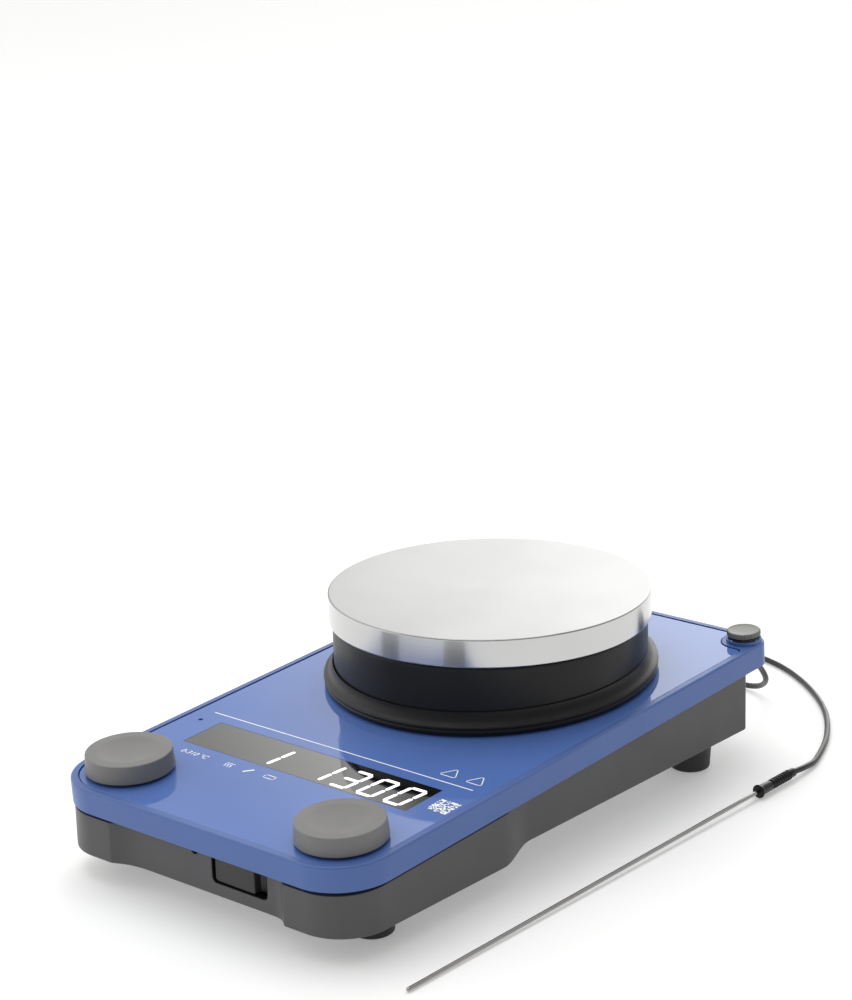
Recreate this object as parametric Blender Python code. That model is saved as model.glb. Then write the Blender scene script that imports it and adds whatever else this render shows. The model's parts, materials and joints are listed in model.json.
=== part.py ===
"""A heating magnetic stirrer with its temperature probe, as separate named pieces.

Every size below is in millimetres and becomes metres when a mesh is placed. +Z is up, the front
with the knobs faces -Y, and the origin is on the table under the middle of the body.
The housing slopes: the deck rises towards the rear while the hotplate stays level. Pieces that
follow the slope are modelled in the deck's own frame: x across, s up the slope, h off the deck.
"""

import math

import bmesh
import bpy
from mathutils import Vector

MM = 0.001
MERGE = 0.0001
GAP = 0.3

# Driving dimensions.
BODY_WIDTH = 160.0
BODY_LENGTH = 270.0
BODY_HEIGHT = 85.0
DECK_SLOPE = math.radians(3.0)
DECK_THICKNESS = 10.2
DECK_Z = 48.0
PLATE_Y = 43.5
PLATE_RADIUS = 67.5
PLATE_THICKNESS = 12.0
FRONT_CORNER = 23.5
REAR_CORNER = 8.0

# The deck's ends, so that its sloping block spans the body's length.
DECK_FRONT = -(BODY_LENGTH / 2 + PLATE_Y) / math.cos(DECK_SLOPE)
DECK_REAR = (BODY_LENGTH / 2 - PLATE_Y - DECK_THICKNESS * math.sin(DECK_SLOPE)) / math.cos(DECK_SLOPE)
DECK_WALL = 3.0
SEAM = 1.0

# The glossy panel let into the deck, its groove and what shows through it.
PANEL_THICKNESS = 1.2
PANEL_RIM = 3.0
PANEL_GROOVE = 0.5
PANEL_HOLE = 60.0
WINDOW_X = 0.7
WINDOW_S = -113.1
WINDOW_SIZE = (119.6, 21.6)
TRIMMER_AT = (-68.5, -104.4)

# Knobs.
KNOB_X = 56.5
KNOB_S = -155.0
KNOB_LIFT = 0.9
KNOB_TOP = 8.4
KNOB_BASE_RADIUS = 17.9
KNOB_TOP_RADIUS = 17.3
SHAFT_RADIUS = 3.0

# Base.
WALL_X = 75.2
LEG_X = 78.4
BASE_FRONT = -129.5
LEG_FRONT = -133.4
BASE_REAR = 124.0
LEG_CORNER = 20.5
LEG_END = -44.5
LEG_BLEND = 19.5
LEG_BOTTOM = 10.0
REAR_BOTTOM = 13.7
UPSTAND_INSET = 0.6
INNER_INSET = 3.4
COVER_TOP = 15.2
COVER_THICKNESS = 1.2
POSTS = ((66.6, -86.0), (66.6, 87.0), (-66.6, -86.0), (-66.6, 87.0))
POST_RADIUS = 6.0
SCREW_END = 33.0

STANDOFFS = ((56.0, -54.0), (56.0, -4.0), (-56.0, -54.0), (-56.0, -4.0))
BOARD_Z = 22.0

# Feet.
FOOT_X = 60.4
FOOT_Y = {"front": -100.8, "rear": 102.1}
FOOT_RADIUS = 9.4

# Power switch and rear panel.
SWITCH_X = 20.3
SWITCH_HALF = 14.3
SWITCH_Z = (15.6, 27.2)
SWITCH_CORNER = 2.2
ROCKER_PIVOT_Y = -124.5
INLET_X = -38.0
INLET_Z = 28.0
INLET_SOCKET_X = -44.0
FUSE_X = -22.0
SOCKET_X = 52.0
SOCKET_Z = 29.0

# Hotplate stack.
PLATE_RIM = 2.9
PLATE_TOP_WALL = 5.5
SKIRT_RADIUS = 66.0
SKIRT_WALL = 2.0
GASKET_RADIUS = 70.4
GASKET_BORE = 66.9

# Drive.
DECK_OPENING = 45.0
MOTOR_RADIUS = 30.0
MOTOR_Z = (20.0, 41.3)
BRACKET_Z = (41.6, 43.6)
MAGNET_RADIUS = 10.0
MAGNET_OFFSET = 25.0

# Stand-rod thread and its cap.
ROD_X = 71.3
ROD_S = 83.0
ROD_NOTCH = 9.3
ROD_BOSS = 8.2
CAP_RADIUS = 7.2
CAP_TEETH = 40
COLLAR_RADIUS = 7.5
COLLAR_HEIGHT = 1.5

# Temperature probe, lying beside the body.
PROBE_X = 104.0
PROBE_TIP_Y = -131.0
PROBE_ROD_LENGTH = 220.0
PROBE_ROD_RADIUS = 0.85
BOOT_LENGTH = 26.6
BOOT_RADIUS = 2.2
BOOT_FLANGE = 3.0
BOOT_RIBS = 8
RIB_PITCH = 1.75
CORD_RADIUS = 1.3
CORD_Z = CORD_RADIUS + GAP
PLUG_END = 150.0

ARC_STEP = math.radians(12)


# ---------------------------------------------------------------- helpers


def clear_scene():
    for item in list(bpy.data.objects):
        bpy.data.objects.remove(item, do_unlink=True)


def material(name, colour, roughness, metallic=0.0):
    found = bpy.data.materials.new(name)
    found.use_nodes = True
    shader = found.node_tree.nodes["Principled BSDF"]
    shader.inputs["Base Color"].default_value = (*colour, 1.0)
    shader.inputs["Roughness"].default_value = roughness
    shader.inputs["Metallic"].default_value = metallic
    return found


def frame(name, at, tilt=0.0, parent=None):
    """An empty that carries the pieces of one frame."""
    empty = bpy.data.objects.new(name, None)
    bpy.context.scene.collection.objects.link(empty)
    empty.location = Vector(at) * MM
    empty.rotation_euler.x = tilt
    empty.parent = parent
    return empty


def place(name, shape, look, at=(0, 0, 0), parent=None):
    """Turns a bmesh in millimetres into a named object in metres."""
    bmesh.ops.scale(shape, vec=(MM, MM, MM), verts=shape.verts)
    mesh = bpy.data.meshes.new(name)
    shape.to_mesh(mesh)
    shape.free()
    mesh.shade_smooth()
    mesh.set_sharp_from_angle(angle=math.radians(35))
    if look:
        mesh.materials.append(look)
    item = bpy.data.objects.new(name, mesh)
    bpy.context.scene.collection.objects.link(item)
    item.location = Vector(at) * MM
    item.parent = parent
    return item


def combine(item, shape, operation, at=(0, 0, 0), parent=None):
    """Adds a Boolean modifier whose other mesh is a hidden helper."""
    helper = place(f"{item.name}_{operation.lower()}_{len(item.modifiers)}", shape, None, at, parent)
    helper.hide_render = True
    helper.display_type = "WIRE"
    modifier = item.modifiers.new(helper.name, "BOOLEAN")
    modifier.operation = operation
    modifier.solver = "EXACT"
    modifier.object = helper


def cut(item, shape, at=(0, 0, 0), parent=None):
    combine(item, shape, "DIFFERENCE", at, parent)


def join(item, shape, at=(0, 0, 0), parent=None):
    combine(item, shape, "UNION", at, parent)


def rounded(corners):
    """An outline through corners (x, y, radius), each radius drawn as an arc."""
    points = []
    for index, (x, y, radius) in enumerate(corners):
        here = Vector((x, y))
        if not radius:
            points.append((x, y))
            continue
        back = (Vector(corners[index - 1][:2]) - here).normalized()
        onward = (Vector(corners[(index + 1) % len(corners)][:2]) - here).normalized()
        half = math.acos(max(-1.0, min(1.0, back.dot(onward)))) / 2
        centre = here + (back + onward).normalized() * (radius / math.sin(half))
        start = here + back * (radius / math.tan(half)) - centre
        end = here + onward * (radius / math.tan(half)) - centre
        sweep = math.atan2(start.x * end.y - start.y * end.x, start.dot(end))
        steps = max(2, math.ceil(abs(sweep) / ARC_STEP))
        first = math.atan2(start.y, start.x)
        for step in range(steps + 1):
            angle = first + sweep * step / steps
            points.append((centre.x + radius * math.cos(angle), centre.y + radius * math.sin(angle)))
    return points


def rectangle(width, length, radius=0.0, centre=(0, 0)):
    x, y = centre
    half_x, half_y = width / 2, length / 2
    return rounded(
        [
            (x - half_x, y - half_y, radius),
            (x + half_x, y - half_y, radius),
            (x + half_x, y + half_y, radius),
            (x - half_x, y + half_y, radius),
        ]
    )


def circle(radius, segments, centre=(0, 0)):
    angles = (2 * math.pi * index / segments for index in range(segments))
    return [(centre[0] + radius * math.cos(a), centre[1] + radius * math.sin(a)) for a in angles]


def prism(outline, low, high, bevel=0.0, shape=None):
    """An extruded outline. low and high are heights, or functions of (x, y) for a sloping end."""
    shape = shape or bmesh.new()
    floor = low if callable(low) else lambda x, y: low
    roof = high if callable(high) else lambda x, y: high
    bottom = [shape.verts.new((x, y, floor(x, y))) for x, y in outline]
    top = [shape.verts.new((x, y, roof(x, y))) for x, y in outline]
    faces = [shape.faces.new(list(reversed(bottom))), shape.faces.new(top)]
    for index in range(len(outline)):
        follow = (index + 1) % len(outline)
        faces.append(shape.faces.new((bottom[index], bottom[follow], top[follow], top[index])))
    bmesh.ops.recalc_face_normals(shape, faces=faces)
    if bevel:
        edges = list(faces[1].edges)
        bmesh.ops.bevel(shape, geom=edges, offset=bevel, segments=2, profile=0.5, affect="EDGES")
    return shape


def box(low, high, shape=None):
    outline = [(low[0], low[1]), (high[0], low[1]), (high[0], high[1]), (low[0], high[1])]
    return prism(outline, low[2], high[2], shape=shape)


def pegs(places, radius, low, high, segments=16):
    """Upright cylinders at several places, in one shape."""
    shape = bmesh.new()
    for x, y in places:
        prism(circle(radius, segments, (x, y)), low, high, shape=shape)
    return shape


def turned(profile, segments, closed=True):
    """A profile of (radius, height) points turned about Z. An open one starts and ends on the axis."""
    shape = bmesh.new()
    verts = [shape.verts.new((radius, 0, height)) for radius, height in profile]
    edges = [shape.edges.new(pair) for pair in zip(verts, verts[1:])]
    if closed:
        edges.append(shape.edges.new((verts[-1], verts[0])))
    bmesh.ops.spin(
        shape,
        geom=verts + edges,
        cent=(0, 0, 0),
        axis=(0, 0, 1),
        angle=2 * math.pi,
        steps=segments,
        use_merge=True,
    )
    bmesh.ops.remove_doubles(shape, verts=shape.verts, dist=MERGE)
    bmesh.ops.recalc_face_normals(shape, faces=shape.faces)
    return shape


def turned_along_y(profile, segments, closed=True):
    """A turned shape whose axis runs along +Y instead of +Z."""
    shape = turned(profile, segments, closed)
    for vert in shape.verts:
        vert.co = (vert.co.x, vert.co.z, -vert.co.y)
    return shape


def upright(outline, low, high):
    """An outline drawn in x and z, extruded along Y from low to high."""
    shape = prism(outline, -high, -low)
    for vert in shape.verts:
        vert.co = (vert.co.x, -vert.co.z, vert.co.y)
    return shape


def plane_height(h):
    """The world height, over any (x, y), of the plane that lies h off the deck."""
    return lambda x, y: DECK_Z + (y - PLATE_Y) * math.tan(DECK_SLOPE) + h / math.cos(DECK_SLOPE)


def smooth_step(start, end, steps):
    """Points of an S-shaped blend between two places, leaving along x or y, whichever is longer."""
    points = []
    along_x = abs(end[0] - start[0]) > abs(end[1] - start[1])
    for index in range(1, steps):
        part = index / steps
        eased = part * part * (3 - 2 * part)
        share = (part, eased) if along_x else (eased, part)
        points.append(tuple(a + (b - a) * t for a, b, t in zip(start, end, share)))
    return points


# ---------------------------------------------------------------- looks

clear_scene()

BLUE_PAINT = material("blue_paint", (0.10, 0.17, 0.42), 0.42)
BLUE_GLOSS = material("blue_gloss", (0.07, 0.15, 0.44), 0.12)
DARK_GLASS = material("dark_glass", (0.01, 0.01, 0.012), 0.08)
BASE_GREY = material("base_grey", (0.075, 0.075, 0.078), 0.5)
KNOB_GREY = material("knob_grey", (0.22, 0.22, 0.21), 0.55)
BLACK_RUBBER = material("black_rubber", (0.015, 0.015, 0.015), 0.6)
BLACK_PLASTIC = material("black_plastic", (0.012, 0.012, 0.013), 0.4)
POLISHED_PLATE = material("polished_plate", (0.75, 0.75, 0.76), 0.12, 1.0)
STEEL = material("steel", (0.55, 0.55, 0.56), 0.3, 1.0)
ALUMINIUM = material("aluminium", (0.7, 0.7, 0.71), 0.35, 1.0)
BRASS = material("brass", (0.75, 0.55, 0.25), 0.3, 1.0)
COPPER = material("copper", (0.7, 0.35, 0.2), 0.4, 1.0)
MAGNET = material("magnet", (0.35, 0.35, 0.37), 0.3, 1.0)
BOARD_GREEN = material("board_green", (0.02, 0.16, 0.06), 0.5)
CERAMIC = material("ceramic", (0.8, 0.79, 0.75), 0.7)

DECK = frame("deck_frame", (0, PLATE_Y, DECK_Z), DECK_SLOPE)


# ---------------------------------------------------------------- outlines


def panel_outline(margin):
    """The panel's edge, drawn in by margin from the deck's, with a notch round the stand-rod cap."""
    side = BODY_WIDTH / 2 - margin
    front = DECK_FRONT + margin
    rear = DECK_REAR - margin
    notch = ROD_NOTCH + margin - PANEL_RIM
    left = ROD_X - notch
    low = ROD_S - notch
    return rounded(
        [
            (-side, front, FRONT_CORNER - margin),
            (side, front, FRONT_CORNER - margin),
            (side, low, 2.4),
            (left, low, notch),
            (left, rear, 2.4),
            (-side, rear, REAR_CORNER - margin),
        ]
    )


def base_outline():
    """The base seen from above: legs at the front corners blend into recessed walls."""
    outline = [(-28.0, BASE_FRONT), (36.5, BASE_FRONT)]
    outline += smooth_step((36.5, BASE_FRONT), (46.5, LEG_FRONT), 5)
    outline.append((46.5, LEG_FRONT))
    outline += rounded([(0, LEG_FRONT, 0), (LEG_X, LEG_FRONT, LEG_CORNER), (LEG_X, 0, 0)])[1:-1]
    outline.append((LEG_X, LEG_END))
    outline += smooth_step((LEG_X, LEG_END), (WALL_X, LEG_END + LEG_BLEND), 6)
    outline.append((WALL_X, LEG_END + LEG_BLEND))
    outline += rounded([(WALL_X, 0, 0), (WALL_X, BASE_REAR, 2.5), (0, BASE_REAR, 0)])[1:-1]
    outline += rounded([(0, BASE_REAR, 0), (-WALL_X, BASE_REAR, 2.5), (-WALL_X, 0, 0)])[1:-1]
    outline.append((-WALL_X, LEG_END + LEG_BLEND))
    outline += smooth_step((-WALL_X, LEG_END + LEG_BLEND), (-LEG_X, LEG_END), 6)
    outline.append((-LEG_X, LEG_END))
    outline += rounded([(-LEG_X, 0, 0), (-LEG_X, LEG_FRONT, LEG_CORNER), (0, LEG_FRONT, 0)])[1:-1]
    outline.append((-46.5, LEG_FRONT))
    outline += smooth_step((-46.5, LEG_FRONT), (-28.0, BASE_FRONT), 6)
    return outline


def tub_outline(inset):
    """The base's plain walls, drawn in by inset."""
    side = WALL_X - inset
    front = BASE_FRONT + inset
    rear = BASE_REAR - inset
    front_radius = 16.0 - inset
    rear_radius = max(2.5 - inset, 1.0)
    return rounded(
        [
            (-side, front, front_radius),
            (side, front, front_radius),
            (side, rear, rear_radius),
            (-side, rear, rear_radius),
        ]
    )


# ---------------------------------------------------------------- housing


def top_housing():
    outline = rounded(
        [
            (-BODY_WIDTH / 2, DECK_FRONT, FRONT_CORNER),
            (BODY_WIDTH / 2, DECK_FRONT, FRONT_CORNER),
            (BODY_WIDTH / 2, DECK_REAR, REAR_CORNER),
            (-BODY_WIDTH / 2, DECK_REAR, REAR_CORNER),
        ]
    )
    housing = place("top_housing", prism(outline, -DECK_THICKNESS, 0, bevel=0.9), BLUE_PAINT, parent=DECK)
    cut(housing, prism(panel_outline(PANEL_RIM), -PANEL_THICKNESS - GAP, 2), parent=DECK)
    cut(housing, prism(tub_outline(0), LEG_BOTTOM, plane_height(-DECK_WALL)))
    join(housing, pegs([(ROD_X, ROD_S)], ROD_BOSS, -DECK_THICKNESS + 0.6, -DECK_WALL + 1, 32), parent=DECK)
    join(housing, pegs([(ROD_X, ROD_S)], COLLAR_RADIUS, -1.0, COLLAR_HEIGHT, 48), parent=DECK)
    openings = prism(circle(SHAFT_RADIUS + 0.6, 20, (KNOB_X, KNOB_S)), -6, 2)
    prism(circle(SHAFT_RADIUS + 0.6, 20, (-KNOB_X, KNOB_S)), -6, 2, shape=openings)
    prism(rectangle(112, 16, 0, (WINDOW_X, WINDOW_S)), -6, 2, shape=openings)
    prism(circle(1.4, 12, TRIMMER_AT), -6, 2, shape=openings)
    prism(circle(6.7, 24, (ROD_X, ROD_S)), -12, 3, shape=openings)
    cut(housing, openings, parent=DECK)
    cut(housing, prism(circle(DECK_OPENING, 48, (0, PLATE_Y)), 20, 60))


def top_panel():
    panel = place(
        "top_panel",
        prism(panel_outline(PANEL_RIM + PANEL_GROOVE), -PANEL_THICKNESS, 0, bevel=0.15),
        BLUE_GLOSS,
        parent=DECK,
    )
    openings = prism(circle(SHAFT_RADIUS + 0.6, 20, (KNOB_X, KNOB_S)), -3, 2)
    prism(circle(SHAFT_RADIUS + 0.6, 20, (-KNOB_X, KNOB_S)), -3, 2, shape=openings)
    prism(rectangle(*WINDOW_SIZE, 0, (WINDOW_X, WINDOW_S)), -3, 2, shape=openings)
    prism(circle(1.0, 12, TRIMMER_AT), -3, 2, shape=openings)
    prism(circle(PANEL_HOLE, 64), -3, 2, shape=openings)
    cut(panel, openings, parent=DECK)


def display():
    width, height = WINDOW_SIZE
    window = rectangle(width - 2 * GAP, height - 2 * GAP, 0, (WINDOW_X, WINDOW_S))
    place("display_window", prism(window, -PANEL_THICKNESS, 0), DARK_GLASS, parent=DECK)
    module = rectangle(111, 15, 0, (WINDOW_X, WINDOW_S))
    place("display_module", prism(module, -12.5, -PANEL_THICKNESS - 2 * GAP), BLACK_PLASTIC, parent=DECK)
    board = [
        (-65, -164),
        (-46, -164),
        (-46, -140),
        (46, -140),
        (46, -164),
        (65, -164),
        (65, -141),
        (58, -141),
        (58, -99),
        (-58, -99),
        (-58, -141),
        (-65, -141),
    ]
    place("display_board", prism(board, -14.4, -12.8), BOARD_GREEN, parent=DECK)


def base_housing():
    seam = plane_height(-DECK_THICKNESS - SEAM)
    housing = place("base_housing", prism(base_outline(), LEG_BOTTOM, seam), BASE_GREY)
    join(housing, prism(tub_outline(UPSTAND_INSET), LEG_BOTTOM + 10, plane_height(-DECK_WALL - GAP)))
    notch = pegs([(ROD_X, ROD_S)], ROD_BOSS + 0.6, -DECK_THICKNESS - SEAM - GAP, 5, 32)
    cut(housing, notch, parent=DECK)
    cut(housing, prism(tub_outline(INNER_INSET), 0, 60))
    rising = [
        (LEG_END, LEG_BOTTOM - 0.2),
        (LEG_END + 1.0, LEG_BOTTOM),
        (LEG_END + LEG_BLEND, REAR_BOTTOM),
        (BODY_LENGTH / 2 + 5, REAR_BOTTOM),
        (BODY_LENGTH / 2 + 5, 0),
        (LEG_END, 0),
    ]
    under = prism(rising, -BODY_WIDTH, BODY_WIDTH)
    for vert in under.verts:
        vert.co = (vert.co.z, vert.co.x, vert.co.y)
    bmesh.ops.recalc_face_normals(under, faces=under.faces)
    cut(housing, under)
    join(housing, pegs(POSTS, POST_RADIUS, COVER_TOP + GAP, plane_height(-DECK_WALL - 2 * GAP)))
    holes = pegs(POSTS, 1.8, 0, 60)
    cut(housing, holes)
    low, high = SWITCH_Z
    opening = rectangle(2 * SWITCH_HALF, high - low, SWITCH_CORNER, (SWITCH_X, (low + high) / 2))
    cut(housing, upright(opening, BASE_FRONT - 5, BASE_FRONT + 10))
    rear = upright(rectangle(43, 21, 0, (INLET_X, INLET_Z)), BASE_REAR - 10, BASE_REAR + 5)
    cut(housing, rear)
    cut(housing, upright(circle(7.4, 24, (SOCKET_X, SOCKET_Z)), BASE_REAR - 10, BASE_REAR + 5))


def bottom_cover():
    outline = tub_outline(INNER_INSET + GAP)
    cover = place("bottom_cover", prism(outline, COVER_TOP - COVER_THICKNESS, COVER_TOP), STEEL)
    openings = pegs(POSTS, 1.8, 0, 30)
    for side in (-1, 1):
        for index in range(7):
            slot = rectangle(3.0, 24.0, 0, (side * (12 + 6.0 * index), -30))
            prism(slot, 0, 30, shape=openings)
    cut(cover, openings)
    join(cover, pegs(STANDOFFS, 2.6, COVER_TOP - 0.5, BOARD_Z - GAP))


def feet():
    top = COVER_TOP - COVER_THICKNESS - GAP
    profile = [
        (3.0, 5.0),
        (3.0, 0.0),
        (FOOT_RADIUS - 2.0, 0.0),
        (FOOT_RADIUS - 0.9, 0.8),
        (FOOT_RADIUS, top),
        (0.0, top),
    ]
    profile = [(0.0, 5.0)] + profile
    for side, sign in (("left", -1), ("right", 1)):
        for end, y in FOOT_Y.items():
            shape = turned(profile, 28, closed=False)
            place(f"foot_{end}_{side}", shape, BLACK_RUBBER, (sign * FOOT_X, y, 0))


def base_screws():
    under = COVER_TOP - COVER_THICKNESS - GAP
    profile = [
        (0.0, under - 1.7),
        (2.6, under - 1.7),
        (3.1, under - 0.9),
        (3.1, under),
        (1.4, under),
        (1.4, SCREW_END),
        (0.0, SCREW_END),
    ]
    names = ("front_right", "rear_right", "front_left", "rear_left")
    for name, (x, y) in zip(names, POSTS):
        place(f"base_screw_{name}", turned(profile, 12, closed=False), STEEL, (x, y, 0))


# ---------------------------------------------------------------- controls


def knob(name, side):
    """A turning and pressing knob: cap, shaft, the plunger it presses and the encoder below."""
    at = (side * KNOB_X, KNOB_S, 0)
    rim = KNOB_TOP - 0.5
    cap = [
        (KNOB_BASE_RADIUS - 1.6, KNOB_LIFT),
        (KNOB_BASE_RADIUS - 0.2, KNOB_LIFT),
        (KNOB_BASE_RADIUS, KNOB_LIFT + 0.4),
        (KNOB_TOP_RADIUS, rim - 0.1),
        (KNOB_TOP_RADIUS - 0.5, KNOB_TOP),
        (12.6, KNOB_TOP),
        (10.4, KNOB_TOP - 0.35),
        (6.0, KNOB_TOP - 0.8),
        (0.0, KNOB_TOP - 0.95),
        (0.0, 6.3),
        (SHAFT_RADIUS + GAP, 6.3),
        (SHAFT_RADIUS + GAP, KNOB_LIFT + 0.3),
        (5.6, KNOB_LIFT + 0.3),
        (5.6, 5.9),
        (15.2, 5.9),
    ]
    shape = turned([cap[8], *reversed(cap[:8]), *reversed(cap[9:])], 48, closed=False)
    place(f"{name}_knob", shape, KNOB_GREY, at, DECK)
    place(f"{name}_shaft", pegs([(0, 0)], SHAFT_RADIUS, -8.6, 6.0, 20), STEEL, at, DECK)
    place(f"{name}_plunger", pegs([(0, 0)], 2.8, -10.4, -8.9), BLACK_PLASTIC, at, DECK)
    body = prism(rectangle(12, 12), -12.5, -DECK_WALL - GAP)
    encoder = place(f"{name}_encoder", body, BLACK_PLASTIC, at, DECK)
    cut(encoder, pegs([(0, 0)], SHAFT_RADIUS + 0.4, -11.5, 0, 20), at, DECK)


def safety_trimmer():
    """The small adjuster of the safety temperature, reached through a pinhole in the panel."""
    at = (*TRIMMER_AT, 0)
    body = turned([(1.6, -9.0), (2.9, -9.0), (2.9, -3.6), (1.6, -3.6)], 16)
    place("safety_trimmer", body, BLACK_PLASTIC, at, DECK)
    screw = place("safety_trimmer_screw", pegs([(0, 0)], 1.2, -8.6, -3.2, 12), BRASS, at, DECK)
    cut(screw, box((-2, -0.25, -3.8), (2, 0.25, 0)), at, DECK)


def power_switch():
    low, high = SWITCH_Z
    front = BASE_FRONT + INNER_INSET + GAP
    block = box((SWITCH_X - 15.8, front, COVER_TOP + GAP), (SWITCH_X + 15.8, -108, high + 1.0))
    body = place("power_switch_body", block, BLACK_PLASTIC)
    cavity = box((SWITCH_X - 14.7, BASE_FRONT, low + 0.4), (SWITCH_X + 14.7, -117.5, high + 0.1))
    cut(body, cavity)
    outline = [
        (-13.4, -4.4),
        (7.4, -4.6),
        (8.0, -1.3),
        (13.4, -0.5),
        (13.4, 1.5),
        (2.5, 4.2),
        (-2.5, 4.2),
        (-13.4, -0.6),
    ]
    middle = (low + high) / 2
    shape = prism(outline, -5.1, 5.1)
    ends = [edge for edge in shape.edges if all(abs(vert.co.x) > 13.3 for vert in edge.verts)]
    ends = [edge for edge in ends if abs(edge.verts[0].co.z - edge.verts[1].co.z) < 1]
    bmesh.ops.bevel(shape, geom=ends, offset=1.9, segments=3, profile=0.5, affect="EDGES")
    place("power_rocker", shape, BLACK_PLASTIC, (SWITCH_X, ROCKER_PIVOT_Y, middle))


def rear_panel():
    """The mains inlet with its fuse drawer, and the probe socket."""
    flange = upright(rectangle(47, 24, 1.5, (INLET_X, INLET_Z)), BASE_REAR + GAP, BASE_REAR + 2.3)
    inlet = place("power_inlet", flange, BLACK_PLASTIC)
    join(inlet, upright(rectangle(42.4, 20.4, 0, (INLET_X, INLET_Z)), BASE_REAR - 22, BASE_REAR + 1))
    mouth = [(-12.2, -8.2), (12.2, -8.2), (12.2, 4.0), (8.4, 8.2), (-8.4, 8.2), (-12.2, 4.0)]
    mouth = [(INLET_SOCKET_X + x, INLET_Z + z) for x, z in mouth]
    cut(inlet, upright(mouth, BASE_REAR - 14, BASE_REAR + 5))
    cut(inlet, upright(rectangle(8.6, 8.6, 0, (FUSE_X, INLET_Z)), BASE_REAR - 21, BASE_REAR + 5))
    for x, z in ((-7, -3), (7, -3), (0, 3)):
        pin = (INLET_SOCKET_X + x, INLET_Z + z)
        join(inlet, upright(rectangle(2, 4, 0, pin), BASE_REAR - 16, BASE_REAR - 1))
    fuse_at = (FUSE_X, BASE_REAR, INLET_Z)
    drawer = place("fuse_drawer", upright(rectangle(8, 8), -18.0, 3.0), BLACK_PLASTIC, fuse_at)
    join(drawer, upright(rectangle(10, 10, 1.0), 2.6, 4.4), fuse_at)
    cut(drawer, box((-2.9, -19, -2.9), (2.9, 1.5, 5)), fuse_at)
    cartridge = [(0, -17.5), (2.5, -17.5), (2.5, 1.0), (0, 1.0)]
    place("fuse", turned_along_y(cartridge, 12, closed=False), BRASS, fuse_at)
    socket = [
        (4.9, -14.0),
        (4.9, 2.4),
        (9.2, 2.4),
        (9.6, 2.0),
        (9.6, GAP),
        (7.0, GAP),
        (7.0, -18.0),
        (0.0, -18.0),
    ]
    shape = turned_along_y([(0.0, -14.0), *socket], 28, closed=False)
    place("sensor_socket", shape, BLACK_PLASTIC, (SOCKET_X, BASE_REAR, SOCKET_Z))


def stand_rod():
    """The threaded bush for a stand rod, and the knurled cap with its washer that closes it."""
    at = (ROD_X, ROD_S, 0)
    place("rod_bush", turned([(5.0, -10.0), (6.4, -10.0), (6.4, -GAP), (5.0, -GAP)], 24), STEEL, at, DECK)
    low = COLLAR_HEIGHT + GAP
    washer = turned([(4.9, low), (6.7, low), (6.7, low + 0.6), (4.9, low + 0.6)], 24)
    place("rod_cap_washer", washer, BLACK_RUBBER, at, DECK)
    knurl = []
    for index in range(2 * CAP_TEETH):
        angle = math.pi * index / CAP_TEETH
        radius = CAP_RADIUS if index % 2 else CAP_RADIUS - 0.35
        knurl.append((radius * math.cos(angle), radius * math.sin(angle)))
    cap = place("rod_cap", prism(knurl, low + 0.9, 5.0, bevel=0.3), BASE_GREY, at, DECK)
    join(cap, pegs([(0, 0)], 4.6, -7.0, 3.2, 20), at, DECK)


# ---------------------------------------------------------------- hotplate


def hotplate():
    top = BODY_HEIGHT
    low = top - PLATE_THICKNESS
    inner = PLATE_RADIUS - PLATE_RIM
    roof = top - PLATE_TOP_WALL
    profile = [
        (0.0, top),
        (PLATE_RADIUS - 0.9, top),
        (PLATE_RADIUS - 0.2, top - 0.25),
        (PLATE_RADIUS, top - 0.9),
        (PLATE_RADIUS, low + 0.8),
        (PLATE_RADIUS - 0.6, low),
        (inner, low),
        (inner, roof),
        (0.0, roof),
    ]
    at = (0, PLATE_Y, 0)
    place("hotplate", turned(profile, 72, closed=False), POLISHED_PLATE, at)
    place("heating_element", turned([(22, 75.8), (56, 75.8), (56, 79.2), (22, 79.2)], 40), COPPER, at)
    disc = [(0, 70.0), (60, 70.0), (60, 75.5), (0, 75.5)]
    place("insulation_disc", turned(disc, 40, closed=False), CERAMIC, at)
    shield = [
        (0, 68.5),
        (60.6, 68.5),
        (62.0, 69.9),
        (62.0, 73.5),
        (61.2, 73.5),
        (61.2, 70.2),
        (60.2, 69.7),
        (0, 69.7),
    ]
    place("heat_shield", turned(shield, 40, closed=False), ALUMINIUM, at)
    place("plate_sensor", pegs([(0, 0)], 3.0, 75.8, 79.2), STEEL, at)
    for index in range(3):
        angle = math.radians(90 + 120 * index)
        x, y = 52 * math.cos(angle), PLATE_Y + 52 * math.sin(angle)
        foot = plane_height(-PANEL_THICKNESS - GAP)(x, y + 3.0) + GAP
        place(f"plate_spacer_{index + 1}", pegs([(0, 0)], 3.0, foot, 68.2), CERAMIC, (x, y, 0))


def skirt():
    """The black wall round the heater, cut off along the sloping deck, and the gasket at its foot."""
    top = BODY_HEIGHT - PLATE_THICKNESS - GAP
    inner = SKIRT_RADIUS - SKIRT_WALL
    low = DECK_Z - 8.0
    profile = [
        (SKIRT_RADIUS - 0.6, top),
        (SKIRT_RADIUS - 0.1, top - 0.6),
        (SKIRT_RADIUS, low),
        (inner, low),
        (inner, top),
    ]
    wall = place("plate_skirt", turned(profile, 72), BLACK_PLASTIC, (0, PLATE_Y, 0))
    cut(wall, prism(rectangle(200, 200, 0, (0, PLATE_Y)), 20, plane_height(GAP)))
    gasket = [
        (GASKET_BORE, 9.0),
        (GASKET_BORE + 0.6, 8.7),
        (68.0, 7.0),
        (69.5, 5.6),
        (GASKET_RADIUS, 4.8),
        (GASKET_RADIUS, 3.8),
        (GASKET_RADIUS - 0.6, 3.1),
        (GASKET_RADIUS - 0.1, 2.3),
        (GASKET_RADIUS - 0.8, GAP),
        (GASKET_BORE, GAP),
    ]
    place("skirt_gasket", turned(gasket, 64), BLACK_RUBBER, parent=DECK)


# ---------------------------------------------------------------- drive


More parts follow.
